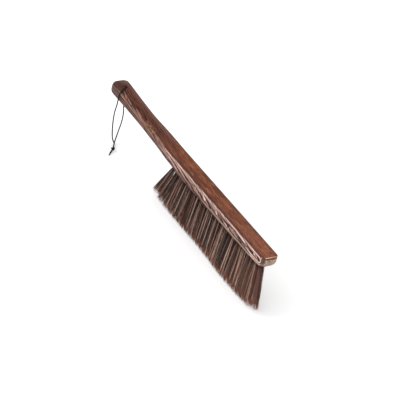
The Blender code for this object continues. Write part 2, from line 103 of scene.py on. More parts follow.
# The body's width, underside rise, top rise, and lower and upper edge radius at each station
BODY_STATIONS = (DOME_START_X, BLOCK_START_X - WAIST_TO_BLOCK, BLOCK_START_X - NECK_TO_BLOCK,
                 BLOCK_START_X, SQUARE_START_X, NOSE_X - LOWER_EDGE_FREE_TO_NOSE,
                 NOSE_X - NOSE_UNDERSIDE_RADIUS)
BODY_WIDTH = (0.0250, 0.0230) + (BLOCK_WIDTH,) * 5
BODY_UNDERSIDE_RISE = (0.0052, 0.0044, 0.0030, 0.0, 0.0, 0.0, 0.0)
BODY_TOP_RISE = (0.0086, 0.0039, 0.0020, 0.0, 0.0, 0.0, 0.0)
BODY_LOWER_RADIUS = (0.0068, 0.0054, 0.0046, 0.0040, BLOCK_EDGE_RADIUS, BLOCK_EDGE_RADIUS,
                     LOWER_EDGE_AT_NOSE)
BODY_UPPER_RADIUS = (0.0068, 0.0058, 0.0030) + (BLOCK_EDGE_RADIUS,) * 4

# Tufts
NEAR_ROW_TUFTS = 25
FAR_ROW_TUFTS = 23
TUFT_PITCH = 0.00865
ROW_SPACING = 0.0110
LAST_TUFT_TO_NOSE = 0.0092
HOLE_RADIUS = 0.0029
HOLE_SIDES = 16
HOLE_CUTTER_LENGTH = 0.0124
HOLE_CUTTER_MIDDLE = 0.0032
FAN_MIDDLE_SLOPE = 0.11
FAN_HANDLE_END_SLOPE = 0.46
FAN_NOSE_END_SLOPE = 0.27
FAN_HANDLE_END_POWER = 6
FAN_NOSE_END_POWER = 10
FAN_OUTWARD_SLOPE = 0.065
FAR_ROW_OUTWARD_SLOPE = 0.050
END_TIP_LIFT_HEIGHT = 0.0060
END_TIP_LIFT_POWER = 14
TIP_GAP = 0.0003
HAIRS_IN_A_TUFT = 150
NEAR_ROW_SEED = 3
FAR_ROW_SEED = 8
FAR_ROW_FIRST_TUFT = 100
FIRST_TUFT_DRAWN_IN = 0.12
TIP_OVERLAP = 0.70
TIP_HALF_DEPTH = 0.0042
ROOT_START_DEPTH = 0.003
WORN_SLOPE = 0.055
WORN_START = -0.15
WORN_FULL = 0.40
GOLDEN_ANGLE = 2.39996
TUFT_TURN = 1.7
HAIR_NUMBERS_A_TUFT = 4096.0
LOCK_NUMBERS_A_TUFT = 64.0
LOCK_REACH = (0.40, 0.85)
LOCK_RISE_SHARE = 0.3
SHORT_HAIRS_POWER = 3.0
HAIR_BEND = 0.0007
HAIR_LENGTHWAYS_FACES = 6
OPENING_POWER = 1.1
TAPER_START = 0.80
TIP_THICKNESS = 0.3
NEAR_ROW_END_X = NOSE_X - LAST_TUFT_TO_NOSE
FIELD_START_X = NEAR_ROW_END_X - (NEAR_ROW_TUFTS - 1) * TUFT_PITCH

# Tones of the locks, each from a level of the lock's own chance up to the next: the hair's own mixed tones,
# with the palest partly a painted glint and the darkest partly painted shade between locks
LOCK_TONES = ((0.24, (104, 82, 74)), (0.42, (146, 84, 70)), (0.60, (250, 218, 200)), (0.71, (22, 14, 12)))
# Streams of chance in the hair; a straying or a bend draws from its own and from the next
LOCK_REACH_DRAW = 10
LOCK_STRAYING_DRAW = 11
HAIR_STRAYING_DRAW = 13
SHORT_HAIR_DRAW = 15
LOCK_RISE_DRAW = 16
BEND_DRAW = 17
SHADE_DRAW = 19
LOCK_TONE_DRAW = 20

# Cord
CORD_DIAMETER = 0.0016
CORD_SIDES = 10
CORD_STEP = 0.0012
ROUTE_STEPS = 24
STEEP_START = 0.9
LAY_STRANDS = 3.0
LAY_TURNS_PER_METRE = 700.0
KNOT_CENTRE = Vector((-0.1477, -0.0143, 0.0027))
KNOT_TURN = math.radians(-35)
KNOT_STEPS = 72
KNOT_RISE = 1.15
OUTER_TURN_SIZE = 0.00072
INNER_TURN_SIZE = 0.00046
INNER_TURN_LIFT = 0.0002
BUMP_DEPTH = 0.0002

# Camera, as fitted to the photograph, whose frame is 400 by 400
CAMERA_AZIMUTH = math.radians(51.59)
CAMERA_ELEVATION = math.radians(33.24)
CAMERA_ROLL = math.radians(14.0)
CAMERA_DISTANCE = 3.320
CAMERA_FOCAL_PIXELS = 2680.0
CAMERA_REACH = 20.0
IMAGE_WIDTH = 400
SENSOR_WIDTH = 36.0
TARGET_PIXEL_OFFSET = (-9.0, -33.0)

# Floor and light; each lamp has a name, a place, a size and a power
FLOOR_HALF_SIZE = 6.0
FLOOR_GLOW = 0.30
ROOM_LIGHT = 0.55
LAMP_AIM = (0.0, 0.0, 0.05)
LAMPS = (("soft_overhead", (-0.2, -0.2, 1.6), (1.8, 1.8), 11.0),
         ("front_left", (-1.0, -1.3, 1.0), (1.4, 1.0), 12.0))


# Building node trees

ORIGIN = (0.0, 0.0, 0.0)
SOCKET_KINDS = {float: "NodeSocketFloat", int: "NodeSocketInt", tuple: "NodeSocketVector",
                type(None): "NodeSocketGeometry"}


class NodeTree:
    """Short ways to add and join nodes in one shader or geometry tree."""

    def __init__(self, tree):
        self.tree = tree

    def add(self, kind, inputs=None, **settings):
        node = self.tree.nodes.new(kind)
        for name, value in settings.items():
            setattr(node, name, value)
        for key, value in (inputs or {}).items():
            self.feed(node.inputs[key], value)
        return node

    def feed(self, socket, value):
        if isinstance(value, bpy.types.NodeSocket):
            self.tree.links.new(value, socket)
        else:
            socket.default_value = value

    def use(self, group, *values):
        """The outputs of a node group whose inputs get the values in their order."""
        node = self.add("ShaderNodeGroup", node_tree=group)
        for socket, value in zip(node.inputs, values):
            self.feed(socket, value)
        return node.outputs

    def math(self, operation, first, second=0.0, clamp=False):
        node = self.add("ShaderNodeMath", {0: first, 1: second}, operation=operation)
        node.use_clamp = clamp
        return node.outputs[0]

    def total(self, *values):
        return reduce(lambda whole, value: self.math("ADD", whole, value), values)

    def times(self, *values):
        return reduce(lambda whole, value: self.math("MULTIPLY", whole, value), values)

    def less(self, first, second):
        return self.math("SUBTRACT", first, second)

    def vector(self, operation, first, second=ORIGIN, scale=None):
        node = self.add("ShaderNodeVectorMath", {0: first, 1: second}, operation=operation)
        if scale is not None:
            self.feed(node.inputs["Scale"], scale)
        return node.outputs["Value" if operation in ("LENGTH", "DOT_PRODUCT") else "Vector"]

    def scaled(self, vector, scale):
        return self.vector("SCALE", vector, scale=scale)

    def combine(self, x=0.0, y=0.0, z=0.0):
        return self.add("ShaderNodeCombineXYZ", {0: x, 1: y, 2: z}).outputs[0]

    def separate(self, vector):
        return self.add("ShaderNodeSeparateXYZ", {0: vector}).outputs

    def noise(self, vector, scale=1.0, detail=2.0):
        inputs = {"Vector": vector, "Scale": scale, "Detail": detail}
        return self.add("ShaderNodeTexNoise", inputs).outputs[0]

    def span(self, value, low, high, to_low=0.0, to_high=1.0):
        """Maps one range smoothly onto another, held at its ends."""
        node = self.add("ShaderNodeMapRange", {0: value, 1: low, 2: high, 3: to_low, 4: to_high})
        node.interpolation_type = "SMOOTHSTEP"
        return node.outputs[0]

    def attribute(self, name):
        return self.add("ShaderNodeAttribute", attribute_name=name).outputs["Fac"]

    def bump(self, height, strength):
        inputs = {"Strength": strength, "Distance": BUMP_DEPTH, "Height": height}
        return self.add("ShaderNodeBump", inputs).outputs[0]

    def blend_colour(self, share, first, second):
        node = self.add("ShaderNodeMix", data_type="RGBA")
        for number, value in ((0, share), (6, first), (7, second)):
            self.feed(node.inputs[number], value)
        return node.outputs[2]

    def two_tone(self, share, first, second):
        return self.blend_colour(share, colour(*first), colour(*second))

    def layers(self, ground, *coats):
        """Coats over a ground, each a mask, the share that it covers, and its colour, 0 to 255."""
        for mask, cover, tone in coats:
            ground = self.blend_colour(self.times(mask, cover), ground, colour(*tone))
        return ground


def colour(red, green, blue):
    """A colour written as it looks on a screen, 0 to 255, as the renderer needs it."""
    values = []
    for value in (red, green, blue):
        share = value / 255
        values.append(share / 12.92 if share <= 0.04045 else ((share + 0.055) / 1.055) ** 2.4)
    return (*values, 1.0)


def new_group(name, kind, inputs, outputs, maker_kind=NodeTree):
    """A node group from its sockets' names and defaults; None stands for geometry."""
    tree = bpy.data.node_groups.new(name, kind)
    for way, sockets in (("INPUT", inputs), ("OUTPUT", outputs)):
        for label, default in sockets.items():
            socket = tree.interface.new_socket(
                name=label, in_out=way, socket_type=SOCKET_KINDS[type(default)])
            if default is not None:
                socket.default_value = default
    maker = maker_kind(tree)
    return maker, maker.add("NodeGroupInput").outputs, maker.add("NodeGroupOutput").inputs


def new_material(name, settings, maker_kind=NodeTree):
    """An empty material with a Principled shader and its fixed settings."""
    material = bpy.data.materials.new(name)
    material.use_nodes = True
    maker = maker_kind(material.node_tree)
    shader = material.node_tree.nodes["Principled BSDF"]
    for label, value in settings.items():
        shader.inputs[label].default_value = value
    return material, maker, shader


# Placing meshes

def new_object(name, data):
    item = bpy.data.objects.new(name, data)
    bpy.context.scene.collection.objects.link(item)
    return item


def new_piece(name, bm, material):
    mesh = bpy.data.meshes.new(name)
    bm.to_mesh(mesh)
    bm.free()
    mesh.materials.append(material)
    return new_object(name, mesh)


def close_up(bm):
    """Merges points that coincide and turns every face outwards."""
    bmesh.ops.remove_doubles(bm, verts=bm.verts, dist=MERGE_DISTANCE)
    bmesh.ops.recalc_face_normals(bm, faces=bm.faces)


def settle_modifiers(item):
    """Turns an object and its modifiers into one plain mesh."""
    graph = bpy.context.evaluated_depsgraph_get()
    graph.update()
    mesh = bpy.data.meshes.new_from_object(item.evaluated_get(graph))
    item.modifiers.clear()
    item.data = mesh


# Wooden body

def smooth_value(stations, values, x):
    """Cubic through the stations that never overshoots them, level at both ends of a flat."""
    x = min(max(x, stations[0]), stations[-1])
    runs = np.diff(stations)
    rises = np.diff(values) / runs
    slopes = np.zeros(len(values))
    slopes[0] = rises[0]
    for i in range(1, len(rises)):
        if rises[i - 1] * rises[i] > 0:
            slopes[i] = 2 * rises[i - 1] * rises[i] / (rises[i - 1] + rises[i])
    index = int(min(np.searchsorted(stations, x, side="right") - 1, len(stations) - 2))
    span = stations[index + 1] - stations[index]
    t = (x - stations[index]) / span
    start_rise, end_rise = slopes[index] * span, slopes[index + 1] * span
    return ((2 * t ** 3 - 3 * t ** 2 + 1) * values[index] + (t ** 3 - 2 * t ** 2 + t) * start_rise
            + (3 * t ** 2 - 2 * t ** 3) * values[index + 1] + (t ** 3 - t ** 2) * end_rise)


def body_profile(x):
    """Half width, underside, top, lower and upper edge radius of the body at a station."""
    width, under_rise, top_rise, lower_radius, upper_radius = [
        smooth_value(BODY_STATIONS, values, x) for values in (
            BODY_WIDTH, BODY_UNDERSIDE_RISE, BODY_TOP_RISE, BODY_LOWER_RADIUS, BODY_UPPER_RADIUS)]
    return width / 2, UNDERSIDE_Z + under_rise, TOP_Z + top_rise, lower_radius, upper_radius


def rounded_section(x, half_width, underside, top, lower_radius, upper_radius):
    """Points of a rounded rectangle across the body, with a few on each flat."""
    most = min(FULLEST_ROUNDING * half_width, FULLEST_ROUNDING / 2 * (top - underside))
    lower, upper = min(lower_radius, most), min(upper_radius, most)
    corners = (
        (half_width - upper, top - upper, upper, 0.0),
        (-half_width + upper, top - upper, upper, 0.5 * math.pi),
        (-half_width + lower, underside + lower, lower, math.pi),
        (half_width - lower, underside + lower, lower, 1.5 * math.pi),
    )
    arcs = []
    for y, z, radius, start in corners:
        turns = [start + 0.5 * math.pi * step / CORNER_STEPS for step in range(CORNER_STEPS + 1)]
        arcs.append([Vector((x, y + radius * math.cos(a), z + radius * math.sin(a))) for a in turns])
    points = []
    for arc, following in zip(arcs, arcs[1:] + arcs[:1]):
        points += arc
        points += [arc[-1].lerp(following[0], share) for share in FLAT_SHARES]
    return points


def butt_sections():
    half_width, underside, top, lower, upper = body_profile(DOME_START_X)
    middle = (underside + top) / 2
    sections = []
    for angle in np.linspace(*BUTT_FIRST_AND_LAST_ANGLE, BUTT_RINGS):
        share = math.sin(math.radians(angle))
        x = DOME_START_X - BUTT_DOME_LENGTH * math.cos(math.radians(angle))
        sections.append(rounded_section(
            x, half_width * share, middle + (underside - middle) * share,
            middle + (top - middle) * share, lower * share, upper * share))
    return sections


def round_off(distance, length, power):
    """Share of the full size that is left at a distance from the end of a rounding."""
    reach = max(0.0, 1.0 - distance / length)
    return (1.0 - reach ** power) ** (1.0 / power)


def nose_sections():
    half_width, underside, top, lower_radius, upper_radius = body_profile(NOSE_X)
    seat = top - NOSE_TOP_SHARE * BLOCK_THICKNESS
    sections = []
    for share in np.linspace(1.0, NOSE_LAST_RING, NOSE_RINGS) ** NOSE_RINGS_CROWDING:
        distance = share * NOSE_UNDERSIDE_RADIUS
        width_left = round_off(distance, NOSE_PLAN_RADIUS, NOSE_PLAN_POWER)
        under_left = round_off(distance, NOSE_UNDERSIDE_RADIUS, NOSE_SIDE_POWER)
        top_left = round_off(distance, NOSE_TOP_RADIUS, NOSE_SIDE_POWER)
        corner = lower_radius + (NOSE_CORNER_RADIUS - lower_radius) * (1.0 - share)
        sections.append(rounded_section(
            NOSE_X - distance, half_width * width_left, seat + (underside - seat) * under_left,
            top - NOSE_TOP_RADIUS * (1.0 - top_left), corner, upper_radius))
    return sections


def body_sections():
    count = math.ceil((NOSE_X - NOSE_UNDERSIDE_RADIUS - DOME_START_X) / RING_SPACING)
    stations = np.linspace(DOME_START_X, NOSE_X - NOSE_UNDERSIDE_RADIUS, count + 1)
    return butt_sections() + [rounded_section(x, *body_profile(x)) for x in stations] + nose_sections()[1:]


def loft(sections):
    bm = bmesh.new()
    rings = [[bm.verts.new(point + BENCH_TO_FRAME) for point in section] for section in sections]
    size = len(rings[0])
    for ring, following in zip(rings, rings[1:]):
        for i in range(size):
            j = (i + 1) % size
            bm.faces.new((ring[i], ring[j], following[j], following[i]))
    bm.faces.new(rings[0][::-1])
    bm.faces.new(rings[-1])
    close_up(bm)
    return bm


def field_share(x):
    """Station along the tuft field, from -1 at its handle end to 1 at its nose end."""
    middle = (FIELD_START_X + NEAR_ROW_END_X) / 2
    return (x - middle) / ((NEAR_ROW_END_X - FIELD_START_X) / 2)


def fan_along(x):
    """Slope of the hair along the brush at a station of the tuft field."""
    u = field_share(x)
    at_end, power = FAN_HANDLE_END_SLOPE, FAN_HANDLE_END_POWER
    if u > 0:
        at_end, power = FAN_NOSE_END_SLOPE, FAN_NOSE_END_POWER
    slope = FAN_MIDDLE_SLOPE * abs(u) + (at_end - FAN_MIDDLE_SLOPE) * abs(u) ** power
    return math.copysign(slope, u)


def tuft_roots(side):
    """Where the tufts of one row leave the block, in the brush's frame."""
    count, offset = (NEAR_ROW_TUFTS, 0.0) if side < 0 else (FAR_ROW_TUFTS, TUFT_PITCH / 2)
    stations = [FIELD_START_X + offset + i * TUFT_PITCH for i in range(count)]
    return [Vector((x, side * ROW_SPACING / 2, UNDERSIDE_Z)) for x in stations]


def hole_cutter():
    bm = bmesh.new()
    for side in (-1, 1):
        for root in tuft_roots(side):
            down = Vector((fan_along(root.x), side * FAN_OUTWARD_SLOPE, -1.0)).normalized()
            turn = Vector((0.0, 0.0, -1.0)).rotation_difference(down).to_matrix().to_4x4()
            rise = Matrix.Translation((0.0, 0.0, HOLE_CUTTER_MIDDLE))
            place = Matrix.Translation(root + BENCH_TO_FRAME) @ turn @ rise
            bmesh.ops.create_cone(
                bm, cap_ends=True, segments=HOLE_SIDES, radius1=HOLE_RADIUS, radius2=HOLE_RADIUS,
                depth=HOLE_CUTTER_LENGTH, matrix=place)
    return new_piece("tuft_hole_cutter", bm, bpy.data.materials.new("cut"))


def bore_cutter():
    """A turned cutter whose two flared ends leave rounded lips on the bore."""
    _, underside, top, _, _ = body_profile(BORE_X)
    past_lip = BORE_RADIUS + BORE_LIP + BORE_CUTTER_REACH

    def lip(mouth, inward, angles):
        turns = [math.radians(angle) for angle in angles]
        return [(BORE_RADIUS + BORE_LIP * (1 - math.cos(turn)),
                 mouth + inward * BORE_LIP * (1 - math.sin(turn))) for turn in turns]

    above, below = top + BORE_CUTTER_REACH, underside - BORE_CUTTER_REACH
    profile = [(0.0, above), (past_lip, above), *lip(top, -1, BORE_LIP_ANGLES[::-1]),
               *lip(underside, 1, BORE_LIP_ANGLES), (past_lip, below), (0.0, below)]
    bm = bmesh.new()
    verts = [bm.verts.new((radius, 0.0, z)) for radius, z in profile]
    edges = [bm.edges.new(pair) for pair in zip(verts, verts[1:])]
    bmesh.ops.spin(bm, geom=verts + edges, cent=(0, 0, 0), axis=(0, 0, 1), angle=2 * math.pi,
                   steps=BORE_SIDES)
    close_up(bm)
    bmesh.ops.translate(bm, verts=bm.verts, vec=Vector((BORE_X, 0.0, 0.0)) + BENCH_TO_FRAME)
    return new_piece("hanging_bore_cutter", bm, bpy.data.materials.new("cut"))


def make_body(material):
    body = new_piece("brush_body", loft(body_sections()), material)
    for cutter in (hole_cutter(), bore_cutter()):
        cut = body.modifiers.new(cutter.name, "BOOLEAN")
        cut.operation = "DIFFERENCE"
        cut.solver = "EXACT"
        cut.object = cutter
        settle_modifiers(body)
        bpy.data.objects.remove(cutter, do_unlink=True)
    body.data.shade_smooth()
    body.data.set_sharp_from_angle(angle=math.radians(SHARP_EDGE_ANGLE))
    mark_faces(body.data)
    while len(body.data.materials) > 1:
        body.data.materials.pop()
    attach(body, "brush")
    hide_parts("wooden_body")


def mark_faces(mesh):
    """Stores how squarely each point faces sideways and endways, to change the wood's figure."""
    normals = np.zeros(len(mesh.vertices) * 3)
    mesh.vertices.foreach_get("normal", normals)
    facing = np.abs(normals.reshape(-1, 3))
    for name, axis, low, high in FACINGS:
        share = mesh.attributes.new(name, "FLOAT", "POINT")
        values = np.clip((facing[:, axis] - low) / (high - low), 0, 1)
        share.data.foreach_set("value", values.astype(np.float32))


# Wood finish

# Marks on the block's sides: x and z of the fine end and of the wide end, and half the width there
DARK_WEDGES = (
    (-0.0290, 0.0702, -0.0105, 0.0658, 0.0009), (-0.0116, 0.0712, 0.0090, 0.0668, 0.0010),
    (0.0174, 0.0686, 0.0250, 0.0682, 0.0008), (0.0385, 0.0694, 0.0430, 0.0663, 0.0017),
    (0.0510, 0.0706, 0.0640, 0.0652, 0.0021), (0.0790, 0.0702, 0.0950, 0.0652, 0.0013),
    (0.0950, 0.0696, 0.1075, 0.0684, 0.0018), (0.1020, 0.0680, 0.1060, 0.0650, 0.0010),
    (0.1190, 0.0690, 0.1385, 0.0652, 0.0016), (0.1360, 0.0646, 0.1560, 0.0632, 0.0009),
    (0.1480, 0.0684, 0.1640, 0.0690, 0.0014), (0.1630, 0.0690, 0.1680, 0.0656, 0.0013),
    (0.1740, 0.0690, 0.1778, 0.0686, 0.0019),
)
PALE_WEDGES = (
    (0.0422, 0.0730, 0.0500, 0.0668, 0.0016), (0.0738, 0.0710, 0.0792, 0.0668, 0.0016),
    (0.0990, 0.0662, 0.1090, 0.0645, 0.0010), (0.1250, 0.0716, 0.1440, 0.0708, 0.0016),
    (0.1480, 0.0660, 0.1650, 0.0644, 0.0010), (0.1650, 0.0706, 0.1672, 0.0690, 0.0012),
)
HONEY_SPOTS = (
    (0.0250, 0.0660, 0.0262, 0.0615, 0.0018), (0.1140, 0.0636, 0.1180, 0.0610, 0.0018),
    (0.1675, 0.0690, 0.1692, 0.0645, 0.0014),
)
# Marks on the top of the handle: the same with x and y
HANDLE_LINES = (
    (-0.1800, -0.0020, -0.1646, -0.0062, 0.0011), (-0.1650, -0.0062, -0.1540, -0.0088, 0.0010),
    (-0.1550, -0.0086, -0.1426, -0.0078, 0.0011), (-0.1430, -0.0078, -0.1270, -0.0102, 0.0011),
    (-0.1620, -0.0096, -0.1490, -0.0112, 0.0007), (-0.1480, -0.0040, -0.1280, -0.0062, 0.0009),
    (-0.1270, -0.0046, -0.1080, -0.0070, 0.0010), (-0.1200, 0.0020, -0.0900, -0.0010, 0.0008),
    (-0.1700, 0.0010, -0.1440, -0.0020, 0.0006), (-0.1560, 0.0050, -0.1200, 0.0020, 0.0006),
    (-0.1000, -0.0070, -0.0780, -0.0092, 0.0008), (-0.0860, -0.0030, -0.0560, -0.0056, 0.0007),
)
HANDLE_PALE_LINES = (
    (-0.1700, -0.0060, -0.1560, -0.0104, 0.0007), (-0.1640, -0.0078, -0.1440, -0.0098, 0.0008),
    (-0.1540, -0.0108, -0.1380, -0.0116, 0.0009), (-0.1330, -0.0086, -0.1180, -0.0100, 0.0012),
    (-0.0900, -0.0100, -0.0560, -0.0116, 0.0016),
)

# Streaks: so many to a metre along and across, the noise levels at which they begin and are
# full, and for one their slant
STREAKS = {
    "pores": (85.0, 2600.0, 0.57, 0.70), "flecks": (170.0, 1300.0, 0.55, 0.68),
    "clouds": (34.0, 150.0, 0.40, 0.60), "long dark lines": (26.0, 1150.0, 0.44, 0.62),
    "broad dark flecks": (150.0, 560.0, 0.46, 0.62), "pale dashes": (60.0, 420.0, 0.56, 0.68),
    "red dashes": (110.0, 520.0, 0.58, 0.68), "edge flecks": (120.0, 900.0, 0.45, 0.60),
    "slow bands": (16.0, 120.0, 0.44, 0.60), "ripples": (560.0, 420.0, 0.46, 0.58),
    "slanted pale lines": (26.0, 420.0, 0.52, 0.64, 0.1),
}
# Growth sheets: so many to a metre along X, Y and Z, how far they wave, and their line's width
GROWTH = {
    "top": ((0.0, 250.0, 60.0), 0.55, 0.35), "side": ((38.0, 60.0, 190.0), 0.9, 0.30),
    "fine side": ((120.0, 60.0, 640.0), 1.8, 0.5), "handle top": ((5.0, 330.0, 120.0), 1.3, 0.5),
    "fine handle top": ((9.0, 760.0, 300.0), 1.6, 0.5),
    "handle side": ((26.0, 160.0, 260.0), 0.9, 0.42), "butt": ((0.0, 150.0, 420.0), 0.6, 0.5),
}
SLOW_WAVES_PER_METRE = (21.0, 50.0, 60.0)
SLOW_WAVES_SIZE = 3.4
QUICK_WAVES_PER_METRE = (85.0, 260.0, 260.0)
QUICK_WAVES_SIZE = 0.9
LINE_BEGINNING = 0.06
MARK_EDGE_STRAYING = 0.0012
MARK_EDGE_WAVES_PER_METRE = (160.0, 600.0)
MARK_EDGE = (1.15, 0.75)
MARK_FINE_END = 0.2
MOTTLES_PER_METRE = (500.0, 700.0, 700.0)

# Places on the wood: along each axis, where a finish fades in and where it is full, and for a
# band also where it is full still and where it is gone. Depth is from the top of the block
PLACES = {
    "handle": {"x": (-0.030, -0.085)},
    "nose half": {"x": (0.04, 0.16)},
    "far edge": {"y": (0.0088, 0.0108)},
    "near edge": {"y": (-0.0070, -0.0098)},
    # Painted shadow along the near ridge of the block's top
    "near ridge shadow": {"y": (-0.0104, -0.0114)},
    "dark foot": {"depth": (0.0100, 0.0112)},
    "low line": {"depth": (0.0112, 0.0117, 0.0125, 0.0130), "x": (0.030, 0.060)},
    # Painted sheen along the handle's crown, and a painted highlight along its far edge
    "handle sheen": {"y": (0.0, 0.0060)},
    "handle far highlight": {"y": (0.0070, 0.0100)},
    "honey": {"x": (-0.1080, -0.1020, -0.0860, -0.0780), "y": (-0.0050, -0.0085), "z": (0.0690, 0.0720)},
    "arcs": {"x": (-0.1800, -0.1840), "y": (-0.0050, -0.0010)},
    "butt end": {"x": (-0.1640, -0.1760)},
    "butt rim": {"x": (-0.1915, -0.1945)},
    # Painted shade on the underside of the handle by the butt
    "shade under butt": {"z": (0.0665, 0.0645), "x": (-0.1500, -0.1700)},
    "nose top": {"z": (0.0722, 0.0730)},
    "nose foot": {"z": (0.0640, 0.0622)},
    "nose corner": {"x": (0.1818, 0.1826), "y": (-0.0076, -0.0084)},
    # Painted highlight along the nose's top edge, and the darker line just past it
    "nose edge highlight": {"x": (0.1834, 0.1838, 0.1846, 0.1850), "z": (0.0730, 0.0734), "y": (-0.0080, -0.0070)},
    "beyond nose edge highlight": {"z": (0.0728, 0.0734), "x": (0.1848, 0.1852)},
}
BUTT_TO_NOSE_X = (0.0, 0.1)
NOSE_CORNER_Z = (0.0650, 0.0680)
# Across the nose, how the painted highlight on its top edge fades
EDGE_HIGHLIGHT_FAR_Y = (0.0, 0.0040)
# Pale strip on the sides, partly pale wood and partly a painted highlight on the upper edge: its depth from
# the top, and how far it strays
PALE_AND_HIGHLIGHT_STRIP_DEPTH = (0.0042, 0.0028)
PALE_AND_HIGHLIGHT_STRIP_STRAYING = 0.0012
ARCS_MIDDLE = (-0.1700, -0.0060, 0.0)
ARC_SPACING = 0.0012
ARC_EDGE = (0.0002, 0.0010)
HAIRPIN_START = (0.1560, 0.0, 0.0692)
HAIRPIN_END = (0.1775, 0.0, 0.0688)
HAIRPIN_PALE_RINGS = ((0.0033, 0.0044), (0.0058, 0.0067))
HAIRPIN_DARK_RING = (0.0048, 0.0054)
HAIRPIN_BEGINNING = 0.3
RING_FADE = 0.0003
SIDE_MEAN = (150, 122, 114)
SIDE_SHARPENING = 1.14


def make_streaks_group():
    """Streaks that run along the grain: noise drawn out along X, in metres, cut to a mask."""
    maker, given, result = new_group(
        "streaks", "ShaderNodeTree",
        {"Point": ORIGIN, "Streaks per metre along": 20.0, "Streaks per metre across": 900.0,
         "Fades in at": 0.45, "Full at": 0.65, "Slant": 0.0},
        {"Streak": 0.0})
    x, y, z = maker.separate(given["Point"])
    fallen = maker.total(z, maker.times(x, given["Slant"]))
    across = given["Streaks per metre across"]
    stretched = maker.combine(maker.times(x, given["Streaks per metre along"]), maker.times(y, across),
                              maker.times(fallen, across))
    maker.feed(result["Streak"], maker.span(maker.noise(stretched), given["Fades in at"], given["Full at"]))
    return maker.tree


def make_growth_group():
    """Growth lines: leaning sheets through the wood, waved along the grain. Each sheet gives a
    thin dark line, then a shade that grows paler up to the next line."""
    maker, given, result = new_group(
        "growth_lines", "ShaderNodeTree",
        {"Point": ORIGIN, "Sheets per metre": ORIGIN, "Waves": 1.0, "Line width": 0.2},
        {"Shade": 0.0, "Line": 0.0})
    point = given["Point"]
    level = maker.vector("DOT_PRODUCT", point, given["Sheets per metre"])
    slow = maker.noise(maker.vector("MULTIPLY", point, SLOW_WAVES_PER_METRE), detail=1.0)
    quick = maker.noise(maker.vector("MULTIPLY", point, QUICK_WAVES_PER_METRE))
    waves = maker.total(maker.times(maker.less(slow, 0.5), SLOW_WAVES_SIZE),
                        maker.times(maker.less(quick, 0.5), QUICK_WAVES_SIZE))
    share = maker.math("FRACT", maker.total(level, maker.times(waves, given["Waves"])))
    half_width = maker.times(given["Line width"], 0.5)
    past = maker.math("DIVIDE", maker.less(share, half_width), half_width)
    begun = maker.span(share, 0.0, LINE_BEGINNING)
    maker.feed(result["Shade"], share)
    maker.feed(result["Line"], maker.times(begun, maker.math("SUBTRACT", 1.0, past, clamp=True)))
    return maker.tree


def make_mark_group():
    """One mark: a wedge from a fine start to a wide end, whose edge strays by a given length."""
    labels = ("Along", "Across", "Start along", "Start across", "End along", "End across",
              "Half width", "Straying")
    maker, given, result = new_group(
        "mark", "ShaderNodeTree", {label: 0.0 for label in labels}, {"Mark": 0.0})
    runs = [maker.less(given["End " + way], given["Start " + way]) for way in ("along", "across")]
    offs = [maker.less(given[way.capitalize()], given["Start " + way]) for way in ("along", "across")]
    reached = maker.total(*[maker.times(off, run) for off, run in zip(offs, runs)])
    whole = maker.total(*[maker.times(run, run) for run in runs])
    share = maker.math("DIVIDE", reached, whole, clamp=True)
    gaps = [maker.less(off, maker.times(share, run)) for off, run in zip(offs, runs)]
    gap = maker.math("SQRT", maker.total(*[maker.times(side, side) for side in gaps]))
    widened = maker.total(MARK_FINE_END, maker.times(share, 1.0 - MARK_FINE_END))
    size = maker.times(given["Half width"], widened)
    filled = maker.math("DIVIDE", maker.total(gap, given["Straying"]), size)
    maker.feed(result["Mark"], maker.span(filled, *MARK_EDGE))
    return maker.tree


def make_hairpin_group():
    """Growth lines that turn back as a hairpin on the side of the nose, each round the next."""
    maker, given, result = new_group(
        "hairpin", "ShaderNodeTree", {"Point": ORIGIN, "Start": ORIGIN, "End": ORIGIN},
        {"Pale": 0.0, "Dark": 0.0})
    reach = maker.vector("SUBTRACT", given["End"], given["Start"])
    off = maker.vector("SUBTRACT", given["Point"], given["Start"])
    flat = maker.vector("MULTIPLY", off, (1.0, 0.0, 1.0))
    along = maker.math("DIVIDE", maker.vector("DOT_PRODUCT", flat, reach),
                       maker.vector("DOT_PRODUCT", reach, reach))
    held = maker.math("MINIMUM", maker.math("MAXIMUM", along, 0.0), 1.0)
    gap = maker.vector("LENGTH", maker.vector("SUBTRACT", flat, maker.scaled(reach, held)))
    begun = maker.span(along, 0.0, HAIRPIN_BEGINNING)

    def ring(inner, outer):
        return maker.times(begun, maker.span(gap, inner - RING_FADE, inner),
                           maker.span(gap, outer + RING_FADE, outer))

    maker.feed(result["Pale"], maker.math("MAXIMUM", *[ring(*limits) for limits in HAIRPIN_PALE_RINGS]))
    maker.feed(result["Dark"], ring(*HAIRPIN_DARK_RING))
    return maker.tree


